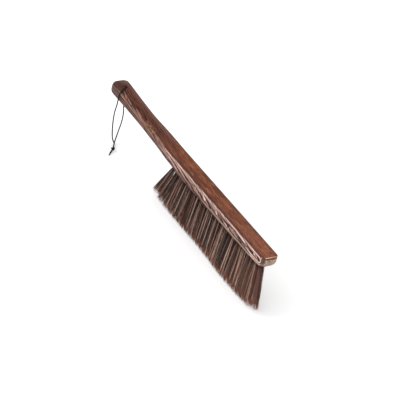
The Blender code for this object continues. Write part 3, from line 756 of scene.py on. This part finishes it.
class WoodPainter(NodeTree):
    """Masks on the wood, each from 0 to 1, and the streaks that its figures share."""

    def __init__(self, tree):
        super().__init__(tree)
        self.point = self.add("ShaderNodeTexCoord").outputs["Object"]
        self.x, self.y, self.z = self.separate(self.point)
        self.depth = self.less(TOP_Z, self.z)
        self.streaks_group = make_streaks_group()
        self.growth_group = make_growth_group()
        self.mark_group = make_mark_group()
        self.pores = self.streaks("pores")
        self.flecks = self.streaks("flecks")
        self.clouds = self.streaks("clouds")
        self.butt_end = self.at("butt end")

    def streaks(self, name):
        return self.use(self.streaks_group, self.point, *STREAKS[name])[0]

    def growth(self, name):
        """The shade and the dark line of growth sheets."""
        return self.use(self.growth_group, self.point, *GROWTH[name])

    def at(self, place):
        """A mask that is full at a named place."""
        masks = []
        for axis, limits in PLACES[place].items():
            value = getattr(self, axis)
            masks.append(self.span(value, *limits[:2]))
            if len(limits) == 4:
                masks.append(self.span(value, limits[3], limits[2]))
        return self.times(*masks)

    def marks(self, places, across):
        """All the marks of a list as one mask."""
        waves_along, waves_across = MARK_EDGE_WAVES_PER_METRE
        spot = self.combine(self.times(self.x, waves_along), self.times(across, waves_across))
        straying = self.times(self.less(self.noise(spot, detail=1.0), 0.5), MARK_EDGE_STRAYING)
        masks = [self.use(self.mark_group, self.x, across, *place, straying)[0] for place in places]
        return reduce(lambda whole, mask: self.math("MAXIMUM", whole, mask), masks)

    def sharpened(self, tone, strength, mean):
        """A colour drawn away from the mean of its figure."""
        shift = Vector(colour(*mean)[:3]) * (1.0 - strength)
        return self.vector("ADD", self.scaled(tone, strength), shift)


def top_figure(wood):
    """Top of the block: clouded warm brown with short fine flecks, darker by both edges, with a painted
    shadow line along the near ridge.
    """
    shade, line = wood.growth("top")
    near_edge = wood.at("near edge")
    return wood.layers(
        wood.two_tone(wood.clouds, (106, 58, 40), (148, 84, 50)),
        (shade, 0.30, (152, 90, 60)),
        (wood.at("nose half"), 0.55, (178, 112, 84)),
        (line, 0.35, (74, 38, 32)),
        (wood.streaks("long dark lines"), 0.35, (80, 42, 34)),
        (wood.flecks, 0.85, (62, 30, 24)),
        (wood.streaks("broad dark flecks"), 0.40, (76, 38, 28)),
        (wood.streaks("pale dashes"), 0.50, (178, 116, 82)),
        (wood.streaks("red dashes"), 0.45, (128, 48, 40)),
        (wood.at("far edge"), 0.65, (78, 56, 48)),
        (near_edge, 0.60, (84, 48, 42)),
        (wood.times(near_edge, wood.streaks("edge flecks")), 0.60, (58, 32, 28)),
        # Painted shadow: a dark line along the near ridge, where the top turns down to the side
        (wood.at("near ridge shadow"), 0.70, (60, 33, 28)))


def handle_top_figure(wood):
    """Rounded top of the handle: darker and redder, with wavy dark lines and arcs by the butt, a painted
    sheen along its crown and a painted highlight along its far edge.
    """
    shade, line = wood.growth("handle top")
    fine_line = wood.growth("fine handle top")["Line"]
    from_above = wood.vector("MULTIPLY", wood.point, (1.0, 1.0, 0.0))
    from_middle = wood.vector("LENGTH", wood.vector("SUBTRACT", from_above, ARCS_MIDDLE))
    arcs = wood.span(wood.math("PINGPONG", from_middle, ARC_SPACING), *ARC_EDGE)
    return wood.layers(
        wood.two_tone(wood.clouds, (82, 40, 32), (112, 58, 38)),
        (shade, 0.60, (146, 84, 58)),
        (line, 0.88, (36, 17, 16)),
        (fine_line, 0.70, (40, 19, 17)),
        (wood.marks(HANDLE_LINES, wood.y), 0.88, (36, 18, 17)),
        (wood.marks(HANDLE_PALE_LINES, wood.y), 0.60, (184, 136, 112)),
        (wood.butt_end, 0.45, (62, 36, 36)),
        (wood.times(arcs, wood.at("arcs")), 0.70, (124, 98, 76)),
        # Painted sheen on the crown of the handle, and a painted greyish highlight along its far edge
        (wood.at("handle sheen"), 0.30, (146, 112, 98)),
        (wood.at("handle far highlight"), 0.50, (84, 62, 54)))


def side_figure(wood):
    """Sides of the block: pale growth bands that fall slowly towards the nose, and dark wedges, with a pale
    strip along the upper edge that is partly pale wood and partly a painted highlight.
    """
    shade, line = wood.growth("side")
    fine_line = wood.growth("fine side")["Line"]
    pale_and_highlight_strip_depth = wood.total(wood.depth, wood.times(shade, PALE_AND_HIGHLIGHT_STRIP_STRAYING))
    hairpin = wood.use(make_hairpin_group(), wood.point, HAIRPIN_START, HAIRPIN_END)
    side = wood.layers(
        wood.two_tone(wood.span(shade, 0.05, 0.95), (88, 54, 45), (218, 178, 162)),
        (wood.streaks("slow bands"), 0.45, (118, 76, 68)),
        (fine_line, 0.60, (76, 46, 38)),
        # Pale strip along the upper edge: partly pale wood, partly a painted highlight on the edge
        (wood.span(pale_and_highlight_strip_depth, *PALE_AND_HIGHLIGHT_STRIP_DEPTH), 0.80, (224, 184, 170)),
        (wood.marks(PALE_WEDGES, wood.z), 0.90, (244, 214, 202)),
        (wood.marks(HONEY_SPOTS, wood.z), 0.70, (200, 144, 102)),
        (line, 0.85, (50, 26, 21)),
        (wood.marks(DARK_WEDGES, wood.z), 0.92, (52, 29, 24)),
        (wood.at("dark foot"), 0.70, (78, 47, 39)),
        (wood.at("low line"), 0.80, (204, 170, 152)),
        (hairpin["Dark"], 0.85, (62, 36, 30)),
        (hairpin["Pale"], 0.90, (244, 208, 196)))
    return wood.sharpened(side, SIDE_SHARPENING, SIDE_MEAN)


def handle_side_figure(wood):
    """Sides of the handle: dark, with pale lines that slant along it."""
    shade, line = wood.growth("handle side")
    return wood.layers(
        wood.two_tone(wood.span(shade, 0.2, 0.9), (64, 36, 33), (128, 84, 70)),
        (wood.streaks("slanted pale lines"), 0.65, (186, 146, 128)),
        (line, 0.85, (38, 21, 20)),
        (wood.butt_end, 0.50, (58, 38, 38)))


def end_grain(wood):
    """Mottled end grain: pale at the nose, dark with rings at the butt."""
    mottle = wood.noise(wood.vector("MULTIPLY", wood.point, MOTTLES_PER_METRE))
    nose = wood.layers(
        wood.two_tone(wood.span(mottle, 0.35, 0.65), (136, 106, 88), (226, 200, 178)),
        (wood.at("nose top"), 0.80, (112, 70, 54)),
        (wood.at("nose foot"), 0.70, (84, 60, 50)))
    butt = wood.layers(
        wood.two_tone(wood.span(mottle, 0.4, 0.65), (44, 25, 23), (84, 50, 42)),
        (wood.growth("butt")["Line"], 0.70, (30, 17, 16)))
    return wood.blend_colour(wood.span(wood.x, *BUTT_TO_NOSE_X), butt, nose)


def edges_and_ends(wood, whole):
    """The end grain, the marked edges of the nose with a painted highlight along its top edge, and the dark
    rim of the butt with painted shade under the handle there, over the rest.
    """
    end_face = wood.span(wood.attribute("end_face"), 0.0, wood.span(wood.x, *BUTT_TO_NOSE_X, 0.35, 1.0))
    nose_corner = wood.times(wood.at("nose corner"), wood.span(wood.z, *NOSE_CORNER_Z, 0.5, 1.0))
    return wood.layers(
        wood.blend_colour(end_face, whole, end_grain(wood)),
        (nose_corner, 0.85, (92, 58, 48)),
        (wood.at("beyond nose edge highlight"), 0.80, (112, 74, 58)),
        # Painted highlight: a pale line along the nose's top edge, where its rounding catches the light
        (wood.at("nose edge highlight"), wood.span(wood.y, *EDGE_HIGHLIGHT_FAR_Y, 0.95, 0.5), (240, 212, 190)),
        # Near-black on the butt's end rim, and painted shade on the underside of the handle by the butt
        (wood.math("MAXIMUM", wood.at("butt rim"), wood.at("shade under butt")), 0.85, (30, 17, 16)))


def make_wood_material():
    material, wood, shader = new_material("lacquered_wood", {
        "Roughness": 0.5, "Specular IOR Level": 0.14, "Coat Weight": 0.05, "Coat Roughness": 0.25},
        WoodPainter)
    handle = wood.at("handle")
    top = wood.blend_colour(handle, top_figure(wood), handle_top_figure(wood))
    side = wood.blend_colour(handle, side_figure(wood), handle_side_figure(wood))
    whole = wood.layers(
        wood.blend_colour(wood.attribute("flank"), top, side),
        (wood.times(wood.at("honey"), wood.streaks("ripples")), 0.38, (198, 150, 116)))
    whole = wood.layers(edges_and_ends(wood, whole), (wood.pores, 0.50, (46, 25, 21)))
    hollows = wood.math("MAXIMUM", wood.pores, wood.times(wood.flecks, 0.4))
    wood.feed(shader.inputs["Base Color"], whole)
    wood.feed(shader.inputs["Normal"], wood.bump(wood.less(1.0, hollows), 0.3))
    return material


# Hair

class HairGrower(NodeTree):
    """Nodes that grow hair: values kept on its points, and chances drawn from one seed."""

    def read(self, name, kind="FLOAT_VECTOR"):
        node = self.add("GeometryNodeInputNamedAttribute", {"Name": name}, data_type=kind)
        return node.outputs["Attribute"]

    def store(self, geometry, name, value, kind="FLOAT_VECTOR"):
        inputs = {"Geometry": geometry, "Name": name, "Value": value}
        node = self.add("GeometryNodeStoreNamedAttribute", inputs, data_type=kind, domain="POINT")
        return node.outputs["Geometry"]

    def chance(self, low, high, identity, stream):
        """A number between two limits: each hair or lock has its own in each stream."""
        node = self.add("FunctionNodeRandomValue", data_type="FLOAT")
        seed = self.total(self.seed, float(stream))
        for label, value in (("Min", low), ("Max", high), ("ID", identity), ("Seed", seed)):
            self.feed([s for s in node.inputs if s.name == label and s.enabled][0], value)
        return [s for s in node.outputs if s.enabled][0]

    def on_disc(self, turn, reach):
        return self.combine(*[self.times(self.math(way, turn), reach) for way in ("COSINE", "SINE")])

    def stray(self, identity, stream, size):
        sides = [self.chance(-1.0, 1.0, identity, number) for number in (stream, stream + 1)]
        return self.scaled(self.combine(*sides), size)

    def moved(self, place, *shifts):
        return reduce(lambda spot, shift: self.vector("ADD", spot, shift), shifts, place)


def scatter_hairs(grower, given):
    """One point a hair, spread evenly over its tuft's hole, with its lock and its tip's place."""
    roots = grower.add("GeometryNodeMeshToPoints", {"Mesh": given["Roots"]}).outputs[0]
    count, locks, gathering = [given[name] for name in ("Hairs in a tuft", "Locks in a tuft", "Gathering")]
    copies = grower.add("GeometryNodeDuplicateElements", {"Geometry": roots, "Amount": count},
                        domain="POINT")
    number, hairs = copies.outputs["Duplicate Index"], copies.outputs["Geometry"]
    tuft = grower.read("tuft", "INT")
    turn = grower.total(grower.times(number, GOLDEN_ANGLE), grower.times(tuft, TUFT_TURN))
    reach = grower.math("SQRT", grower.math("DIVIDE", grower.total(number, 0.5), count))
    place = grower.on_disc(turn, reach)
    part_turn = grower.math("FRACT", grower.math("DIVIDE", turn, 2 * math.pi))
    sector = grower.math("FLOOR", grower.times(part_turn, locks))
    hair_id = grower.total(grower.times(tuft, HAIR_NUMBERS_A_TUFT), number)
    lock_id = grower.total(grower.times(tuft, LOCK_NUMBERS_A_TUFT), sector)
    lock_turn = grower.times(grower.math("DIVIDE", grower.total(sector, 0.5), locks), 2 * math.pi)
    lock_place = grower.on_disc(lock_turn, grower.chance(*LOCK_REACH, lock_id, LOCK_REACH_DRAW))
    gathered = grower.moved(grower.scaled(place, grower.less(1.0, gathering)),
                            grower.scaled(lock_place, gathering))
    tip_offset = grower.moved(
        grower.vector("MULTIPLY", gathered, grower.read("opening")),
        grower.stray(lock_id, LOCK_STRAYING_DRAW, given["Lock straying"]),
        grower.stray(hair_id, HAIR_STRAYING_DRAW, given["Hair straying"]))
    short = grower.math("POWER", grower.chance(0.0, 1.0, hair_id, SHORT_HAIR_DRAW), SHORT_HAIRS_POWER)
    lock_rise = grower.chance(0.0, LOCK_RISE_SHARE, lock_id, LOCK_RISE_DRAW)
    hairs = grower.store(hairs, "root", grower.add("GeometryNodeInputPosition").outputs[0])
    hairs = grower.store(hairs, "offset", grower.scaled(place, given["Root radius"]))
    hairs = grower.store(hairs, "tip_offset", tip_offset)
    hairs = grower.store(hairs, "bend", grower.stray(hair_id, BEND_DRAW, HAIR_BEND))
    for name, value in (("rise", grower.times(grower.total(short, lock_rise), given["Ragged tips"])),
                        ("shade", grower.chance(0.0, 1.0, hair_id, SHADE_DRAW)),
                        ("lock", grower.chance(0.0, 1.0, lock_id, LOCK_TONE_DRAW))):
        hairs = grower.store(hairs, name, value, "FLOAT")
    return hairs


def grow_hairs(grower, given, hairs):
    """A plain three-sided blank on every point, drawn out from the root to its own tip."""
    blank = grower.add("GeometryNodeMeshCylinder", {
        "Vertices": 3, "Side Segments": HAIR_LENGTHWAYS_FACES, "Fill Segments": 1, "Radius": 1.0,
        "Depth": 1.0})
    x, y, z = grower.separate(grower.add("GeometryNodeInputPosition").outputs[0])
    marked = grower.store(blank.outputs["Mesh"], "along", grower.less(0.5, z), "FLOAT")
    marked = grower.store(marked, "around", grower.combine(x, y))
    placed = grower.add("GeometryNodeInstanceOnPoints", {"Points": hairs, "Instance": marked})
    grown = grower.add("GeometryNodeRealizeInstances", {0: placed.outputs[0]}).outputs[0]
    along = grower.read("along", "FLOAT")
    left = grower.less(1.0, grower.math("DIVIDE", grower.read("rise", "FLOAT"), FREE_HAIR_LENGTH))
    opened = grower.math("POWER", along, OPENING_POWER)
    thinned = grower.span(along, TAPER_START, 1.0, 1.0, TIP_THICKNESS)
    spot = grower.moved(grower.read("root"), *[
        grower.scaled(grower.read(name), scale) for name, scale in (
            ("lean", grower.times(along, left)), ("offset", grower.less(1.0, opened)),
            ("tip_offset", opened), ("bend", grower.times(along, grower.less(1.0, along), 4.0)),
            ("around", grower.times(given["Hair radius"], thinned)))])
    return grower.add("GeometryNodeSetPosition", {"Geometry": grown, "Position": spot}).outputs[0]


def make_hair_tree(material):
    """Grows every hair of a row from its tufts' roots, gathered in locks that open to the tips."""
    grower, given, result = new_group(
        "hair_row", "GeometryNodeTree",
        {"Roots": None, "Hairs in a tuft": HAIRS_IN_A_TUFT, "Root radius": 0.0026, "Hair radius": 0.00021,
         "Locks in a tuft": 30, "Gathering": 0.55, "Lock straying": 0.0005, "Hair straying": 0.0003,
         "Ragged tips": 0.0030, "Seed": NEAR_ROW_SEED},
        {"Hair": None}, HairGrower)
    grower.seed = given["Seed"]
    hairs = grow_hairs(grower, given, scatter_hairs(grower, given))
    finished = grower.add("GeometryNodeSetMaterial", {"Geometry": hairs, "Material": material})
    grower.feed(result["Hair"], finished.outputs[0])
    return grower.tree


def tree_inputs(tree):
    return {item.name: item.identifier for item in tree.interface.items_tree
            if item.item_type == "SOCKET" and item.in_out == "INPUT"}


def tip_place(root, side):
    """Middle of a tuft's tips: worn towards the near side in the front half of the brush."""
    worn = max(0.0, min(1.0, (field_share(root.x) - WORN_START) / (WORN_FULL - WORN_START)))
    worn = WORN_SLOPE * worn * worn * (3.0 - 2.0 * worn)
    lift = END_TIP_LIFT_HEIGHT * abs(field_share(root.x)) ** END_TIP_LIFT_POWER
    fall = root.z - lift - TIP_GAP
    outward = -FAN_OUTWARD_SLOPE if side < 0 else FAR_ROW_OUTWARD_SLOPE
    return root + Vector((fan_along(root.x), outward - worn, -1.0)) * fall


def root_points(name, side):
    """One point a tuft, just up its hole, with its lean to the floor and how far its tips open."""
    roots = tuft_roots(side)
    tips = [tip_place(root, side) for root in roots]
    tips[0] = tips[0].lerp(tips[1], FIRST_TUFT_DRAWN_IN)
    leans, spots, openings = [], [], []
    for i, (root, tip) in enumerate(zip(roots, tips)):
        slope = (tip - root) / (root.z - tip.z)
        start = root - slope * ROOT_START_DEPTH
        spots.append(start + BENCH_TO_FRAME)
        leans.append(tip - start)
        before, after = tips[max(i - 1, 0)], tips[min(i + 1, len(tips) - 1)]
        gaps = (i > 0) + (i < len(tips) - 1)
        openings.append((TIP_OVERLAP * (after.x - before.x) / gaps, TIP_HALF_DEPTH, 0.0))
    mesh = bpy.data.meshes.new(name)
    mesh.from_pydata(spots, [], [])
    for label, values in (("lean", leans), ("opening", openings)):
        attribute = mesh.attributes.new(label, "FLOAT_VECTOR", "POINT")
        attribute.data.foreach_set("vector", np.array(values, dtype=np.float32).ravel())
    tuft = mesh.attributes.new("tuft", "INT", "POINT")
    first = 0 if side < 0 else FAR_ROW_FIRST_TUFT
    tuft.data.foreach_set("value", [first + i for i in range(len(roots))])
    return new_object(name, mesh)


def make_hair_row(name, side, tree):
    row = root_points(name, side)
    grow = row.modifiers.new("hair", "NODES")
    grow.node_group = tree
    sockets = tree_inputs(tree)
    grow[sockets["Hairs in a tuft"]] = HAIRS_IN_A_TUFT
    grow[sockets["Seed"]] = NEAR_ROW_SEED if side < 0 else FAR_ROW_SEED
    settle_modifiers(row)
    for spare in ("root", "offset", "tip_offset", "rise", "bend", "around", "lean", "opening"):
        found = row.data.attributes.get(spare)
        if found:
            row.data.attributes.remove(found)
    row.data.shade_smooth()
    label = "near" if side < 0 else "far"
    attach(row, "brush")
    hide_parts(*[f"tuft_{label}_{i + 1:02d}" for i in range(len(tuft_roots(side)))])


def make_hair_material():
    """Dark bristle hair: tufts, locks and hairs of several tones, paler towards tips and nose, with painted
    shade near the roots.
    """
    material, maker, shader = new_material("brush_hair", {"Roughness": 0.55, "Specular IOR Level": 0.15})
    shade, lock, along, tuft = [maker.attribute(name) for name in ("shade", "lock", "along", "tuft")]
    x = maker.separate(maker.add("ShaderNodeTexCoord").outputs["Object"])[0]
    tuft_tone = maker.noise(maker.combine(tuft), 5.3, detail=0.0)
    whole = maker.layers(
        maker.two_tone(maker.span(tuft_tone, 0.40, 0.62), (76, 52, 45), (106, 68, 57)),
        *[(maker.span(lock, start, start + 0.01), 0.90, tone) for start, tone in LOCK_TONES],
        (maker.span(shade, 0.87, 0.90), 0.90, (228, 196, 174)),
        (maker.span(shade, 0.32, 0.26), 0.80, (32, 20, 18)),
        (maker.span(along, 0.76, 1.0), 0.66, (176, 106, 74)),
        (maker.span(x, 0.090, 0.010), 0.26, (40, 26, 22)),
        (maker.span(x, 0.100, 0.170), 0.32, (176, 126, 110)),
        # Painted shade: the hair darkens near its roots, under the block and between the tufts
        (maker.span(along, 0.26, 0.06), 0.50, (26, 18, 17)))
    maker.feed(shader.inputs["Base Color"], whole)
    return material


# Hanging cord

def smooth_route(route):
    """Even points along the smooth curve through a route's own points."""
    padded = [2 * route[0] - route[1]] + list(route) + [2 * route[-1] - route[-2]]
    fine = []
    for before, start, end, after in zip(padded, padded[1:], padded[2:], padded[3:]):
        rise = end - before
        turn = 2 * before - 5 * start + 4 * end - after
        twist = 3 * start - before - 3 * end + after
        for i in range(ROUTE_STEPS):
            t = i / ROUTE_STEPS
            fine.append(0.5 * (2 * start + rise * t + turn * t ** 2 + twist * t ** 3))
    fine.append(route[-1].copy())
    runs = np.cumsum([0.0] + [(b - a).length for a, b in zip(fine, fine[1:])])
    count = max(2, round(runs[-1] / CORD_STEP))
    wanted = np.linspace(0.0, runs[-1], count + 1)
    columns = [np.interp(wanted, runs, [point[axis] for point in fine]) for axis in range(3)]
    return [Vector(point) for point in zip(*columns)]


def tube_rings(bm, points, closed):
    """Rings round a route, each turned from the one before only as far as the route bends."""
    count = len(points)
    normal = Vector((0.0, 0.0, 1.0))
    rings = []
    for i, point in enumerate(points):
        ahead = points[(i + 1) % count] if closed else points[min(i + 1, count - 1)]
        behind = points[i - 1] if closed or i else points[0]
        tangent = (ahead - behind).normalized()
        if i == 0 and abs(tangent.z) > STEEP_START:
            normal = Vector((1.0, 0.0, 0.0))
        normal = (normal - tangent * normal.dot(tangent)).normalized()
        across = tangent.cross(normal)
        turns = [2 * math.pi * side / CORD_SIDES for side in range(CORD_SIDES)]
        spokes = [normal * math.cos(a) + across * math.sin(a) for a in turns]
        rings.append([bm.verts.new(point + CORD_DIAMETER / 2 * spoke) for spoke in spokes])
    return rings


def best_start(ring, before):
    """A ring turned so that its points lie as near as they can to those of the ring before."""
    turned = [ring[side:] + ring[:side] for side in range(CORD_SIDES)]
    return min(turned, key=lambda order: sum((a.co - b.co).length for a, b in zip(order, before)))


def cord_tube(name, points, material, closed=False):
    """A round tube through the points, with its lay marked as a UV map of real lengths."""
    bm = bmesh.new()
    uv = bm.loops.layers.uv.new("lay")
    rings = tube_rings(bm, points, closed)
    pairs = list(zip(rings, rings[1:]))
    if closed:
        pairs.append((rings[-1], best_start(rings[0], rings[-1])))
    else:
        bm.faces.new(rings[0][::-1])
        bm.faces.new(rings[-1])
    runs = np.cumsum([0.0] + [(b - a).length for a, b in zip(points, points[1:])] + [CORD_STEP])
    for (ring, following), low, high in zip(pairs, runs, runs[1:]):
        for k in range(CORD_SIDES):
            j = (k + 1) % CORD_SIDES
            face = bm.faces.new((ring[k], ring[j], following[j], following[k]))
            for loop, (u, v) in zip(face.loops, ((k, low), (k + 1, low), (k + 1, high), (k, high))):
                loop[uv].uv = (u / CORD_SIDES, v)
    bmesh.ops.recalc_face_normals(bm, faces=bm.faces)
    item = new_piece(name, bm, material)
    item.data.shade_smooth()
    return item


def bench(*places):
    """Places as measured on the brush, brought into the frame."""
    return [Vector(place) + BENCH_TO_FRAME for place in places]


def over_handle_route():
    """Up through the bore, over the near side of the handle, and down beside it to the knot."""
    return bench(
        (-0.1690, 0.0, 0.0660), (-0.1690, 0.0, 0.07305), (-0.1690, 0.0, 0.08009),
        (-0.16868, -0.0004, 0.08159), (-0.16782, -0.0015, 0.08269), (-0.16671, -0.0030, 0.08309),
        (-0.16494, -0.00564, 0.08309), (-0.1633, -0.00861, 0.08252), (-0.16224, -0.01124, 0.08077),
        (-0.16183, -0.01293, 0.07827), (-0.1618, -0.01356, 0.07518), (-0.1618, -0.01329, 0.0630),
        (-0.1626, -0.0137, 0.0520), (-0.1624, -0.0138, 0.0430), (-0.1614, -0.0137, 0.0340),
        (-0.1603, -0.0131, 0.0250), (-0.1600, -0.0114, 0.0150), (-0.1604, -0.0090, 0.0080),
        (-0.1600, -0.0075, 0.0045), (-0.1585, -0.0069, 0.0030), (-0.1562, -0.0083, 0.0026),
        (-0.1533, -0.0103, 0.0026), (-0.1503, -0.0124, 0.0026))


def under_bore_route():
    """Down from the lower mouth of the bore and along the floor to the knot."""
    return bench(
        (-0.1690, 0.0, 0.0660), (-0.1689, 0.0, 0.0630), (-0.1660, 0.0002, 0.0560),
        (-0.1630, 0.0001, 0.0470), (-0.1618, 0.0, 0.0390), (-0.1622, -0.0001, 0.0300),
        (-0.1632, -0.0005, 0.0210), (-0.1632, -0.0016, 0.0120), (-0.1626, -0.0029, 0.0062),
        (-0.1613, -0.0044, 0.0025), (-0.1590, -0.0062, 0.00095), (-0.1562, -0.0083, 0.00095),
        (-0.1533, -0.0103, 0.00095), (-0.1503, -0.0124, 0.0012))


def tail_routes():
    long_tail = bench((-0.1462, -0.0161, 0.0016), (-0.1457, -0.0167, 0.0012), (-0.1437, -0.0190, 0.00095),
                      (-0.1411, -0.0221, 0.00095), (-0.1384, -0.0252, 0.00095))
    short_tail = bench((-0.1462, -0.0161, 0.0034), (-0.1457, -0.0167, 0.0031), (-0.1439, -0.0188, 0.0026),
                       (-0.1420, -0.0210, 0.0026), (-0.1403, -0.0230, 0.0026))
    return long_tail, short_tail


def knot_turns(size, lift):
    """Closed path of an overhand knot: three lobes that pass over and under one another."""
    turn = Matrix.Rotation(KNOT_TURN, 3, "Z")
    points = []
    for i in range(KNOT_STEPS):
        t = 2 * math.pi * i / KNOT_STEPS
        spot = Vector((math.sin(t) + 2 * math.sin(2 * t), math.cos(t) - 2 * math.cos(2 * t),
                       -KNOT_RISE * math.sin(3 * t)))
        points.append(turn @ (spot * size) + Vector((0.0, 0.0, lift)) + KNOT_CENTRE + BENCH_TO_FRAME)
    return points


def swing_with_loop(piece, node):
    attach(piece, "cord_loop")
    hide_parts(node)
    return piece


def make_knot(material):
    """Both runs of the cord tied together in one overhand knot, drawn tight."""
    knot = cord_tube("cord_knot_tied", knot_turns(OUTER_TURN_SIZE, 0.0), material, closed=True)
    inner = cord_tube("cord_knot_inner", knot_turns(INNER_TURN_SIZE, INNER_TURN_LIFT), material, closed=True)
    bm = bmesh.new()
    bm.from_mesh(knot.data)
    bm.from_mesh(inner.data)
    bm.to_mesh(knot.data)
    bm.free()
    bpy.data.objects.remove(inner, do_unlink=True)
    return swing_with_loop(knot, "cord_knot")


def make_tail(name, route, node, material):
    return swing_with_loop(cord_tube(name, smooth_route(route), material), node)


def make_strand_of_cord(name, route, nodes, material):
    """One run of the cord, held in the handle at its top and running down to the knot."""
    points = smooth_route(route)
    strand = cord_tube(name, points, material)
    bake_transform(strand)
    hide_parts(*nodes)


def make_hanging_cord(material):
    knot = make_knot(material)
    long_route, short_route = tail_routes()
    long_tail = make_tail("cord_end_long", long_route, "cord_tail_long", material)
    short_tail = make_tail("cord_end_short", short_route, "cord_tail_short", material)
    _, underside, top, _, _ = body_profile(BORE_X)
    make_strand_of_cord("cord_over_and_down", over_handle_route(), ("cord_over_handle", "cord_leg_beside"),
                        material)
    make_strand_of_cord("cord_under_and_down", under_bore_route(), ("cord_leg_under",),
                        material)


def make_cord_material():
    """Black cord whose strands show by painted shade in the valleys between them."""
    material, maker, shader = new_material("black_cord", {"Roughness": 0.6, "Specular IOR Level": 0.25})
    around, along = maker.separate(maker.add("ShaderNodeUVMap", uv_map="lay").outputs[0])[:2]
    turns = maker.total(maker.times(around, LAY_STRANDS), maker.times(along, LAY_TURNS_PER_METRE))
    from_middle = maker.math("ABSOLUTE", maker.less(maker.math("FRACT", turns), 0.5))
    # Painted shade in the valleys between the strands of the lay
    shaded_valley = maker.span(from_middle, 0.30, 0.5)
    maker.feed(shader.inputs["Base Color"], maker.two_tone(shaded_valley, (30, 29, 30), (9, 9, 10)))
    maker.feed(shader.inputs["Normal"], maker.bump(maker.less(1.0, shaded_valley), 0.5))
    return material


# Camera, light and floor

def camera_axes():
    """The picture's right, its up, and the way back from the brush to the camera."""
    azimuth, elevation, roll = CAMERA_AZIMUTH, CAMERA_ELEVATION, CAMERA_ROLL
    back = Vector((math.sin(azimuth) * math.cos(elevation), -math.cos(azimuth) * math.cos(elevation),
                   math.sin(elevation)))
    right = Vector((math.cos(azimuth), math.sin(azimuth), 0.0))
    up = back.cross(right)
    image_right = math.cos(roll) * right + math.sin(roll) * up
    image_up = -math.sin(roll) * right + math.cos(roll) * up
    return image_right, image_up, back


def make_camera():
    image_right, image_up, back = camera_axes()
    target = Vector((0.0, 0.0, TOP_Z)) + BENCH_TO_FRAME
    seen_at = Vector((TARGET_PIXEL_OFFSET[0], -TARGET_PIXEL_OFFSET[1], -CAMERA_FOCAL_PIXELS)).normalized()
    aim = seen_at.rotation_difference(Vector((0.0, 0.0, -1.0))).to_matrix()
    turned = Matrix((image_right, image_up, back)).transposed() @ aim
    data = bpy.data.cameras.new("camera")
    data.sensor_width = SENSOR_WIDTH
    data.sensor_fit = "HORIZONTAL"
    data.lens = CAMERA_FOCAL_PIXELS * SENSOR_WIDTH / IMAGE_WIDTH
    data.clip_end = CAMERA_REACH
    camera = new_object("camera", data)
    camera.matrix_world = Matrix.Translation(target + back * CAMERA_DISTANCE) @ turned.to_4x4()
    bpy.context.scene.camera = camera


def make_floor():
    """A wide pale floor, which looks brighter than the light that it throws back on the brush."""
    bm = bmesh.new()
    bmesh.ops.create_grid(bm, x_segments=1, y_segments=1, size=FLOOR_HALF_SIZE)
    material = bpy.data.materials.new("pale_floor")
    material.use_nodes = True
    material.node_tree.nodes.clear()
    maker = NodeTree(material.node_tree)
    matt = maker.add("ShaderNodeBsdfDiffuse", {"Color": colour(247, 247, 247)}).outputs[0]
    glow = maker.add("ShaderNodeEmission", {"Color": (1.0, 1.0, 1.0, 1.0), "Strength": FLOOR_GLOW})
    both = maker.add("ShaderNodeAddShader", {0: matt, 1: glow.outputs[0]})
    ray = maker.add("ShaderNodeLightPath").outputs
    mirrored = maker.math("MAXIMUM", ray["Is Glossy Ray"], ray["Is Transmission Ray"])
    seen = maker.math("MAXIMUM", ray["Is Camera Ray"], mirrored)
    chosen = maker.add("ShaderNodeMixShader", {0: seen, 1: matt, 2: both.outputs[0]})
    maker.add("ShaderNodeOutputMaterial", {"Surface": chosen.outputs[0]})
    new_piece("floor", bm, material)


def make_lamp(name, place, size, power):
    data = bpy.data.lights.new(name, "AREA")
    data.shape = "RECTANGLE"
    data.size, data.size_y = size
    data.energy = power
    lamp = new_object(name, data)
    lamp.location = place
    lamp.rotation_euler = (Vector(LAMP_AIM) - Vector(place)).to_track_quat("-Z", "Y").to_euler()


def make_light():
    world = bpy.data.worlds.new("soft_studio")
    world.use_nodes = True
    room = world.node_tree.nodes["Background"].inputs
    room["Color"].default_value = (1.0, 1.0, 1.0, 1.0)
    room["Strength"].default_value = ROOM_LIGHT
    bpy.context.scene.world = world
    for lamp in LAMPS:
        make_lamp(*lamp)


def make_scene():
    bpy.context.scene.view_settings.view_transform = "Standard"
    make_camera()
    make_light()
    make_floor()
    make_hanging_cord(make_cord_material())
    make_body(make_wood_material())
    hair_tree = make_hair_tree(make_hair_material())
    make_hair_row("near_hair", -1, hair_tree)
    make_hair_row("far_hair", 1, hair_tree)


make_scene()
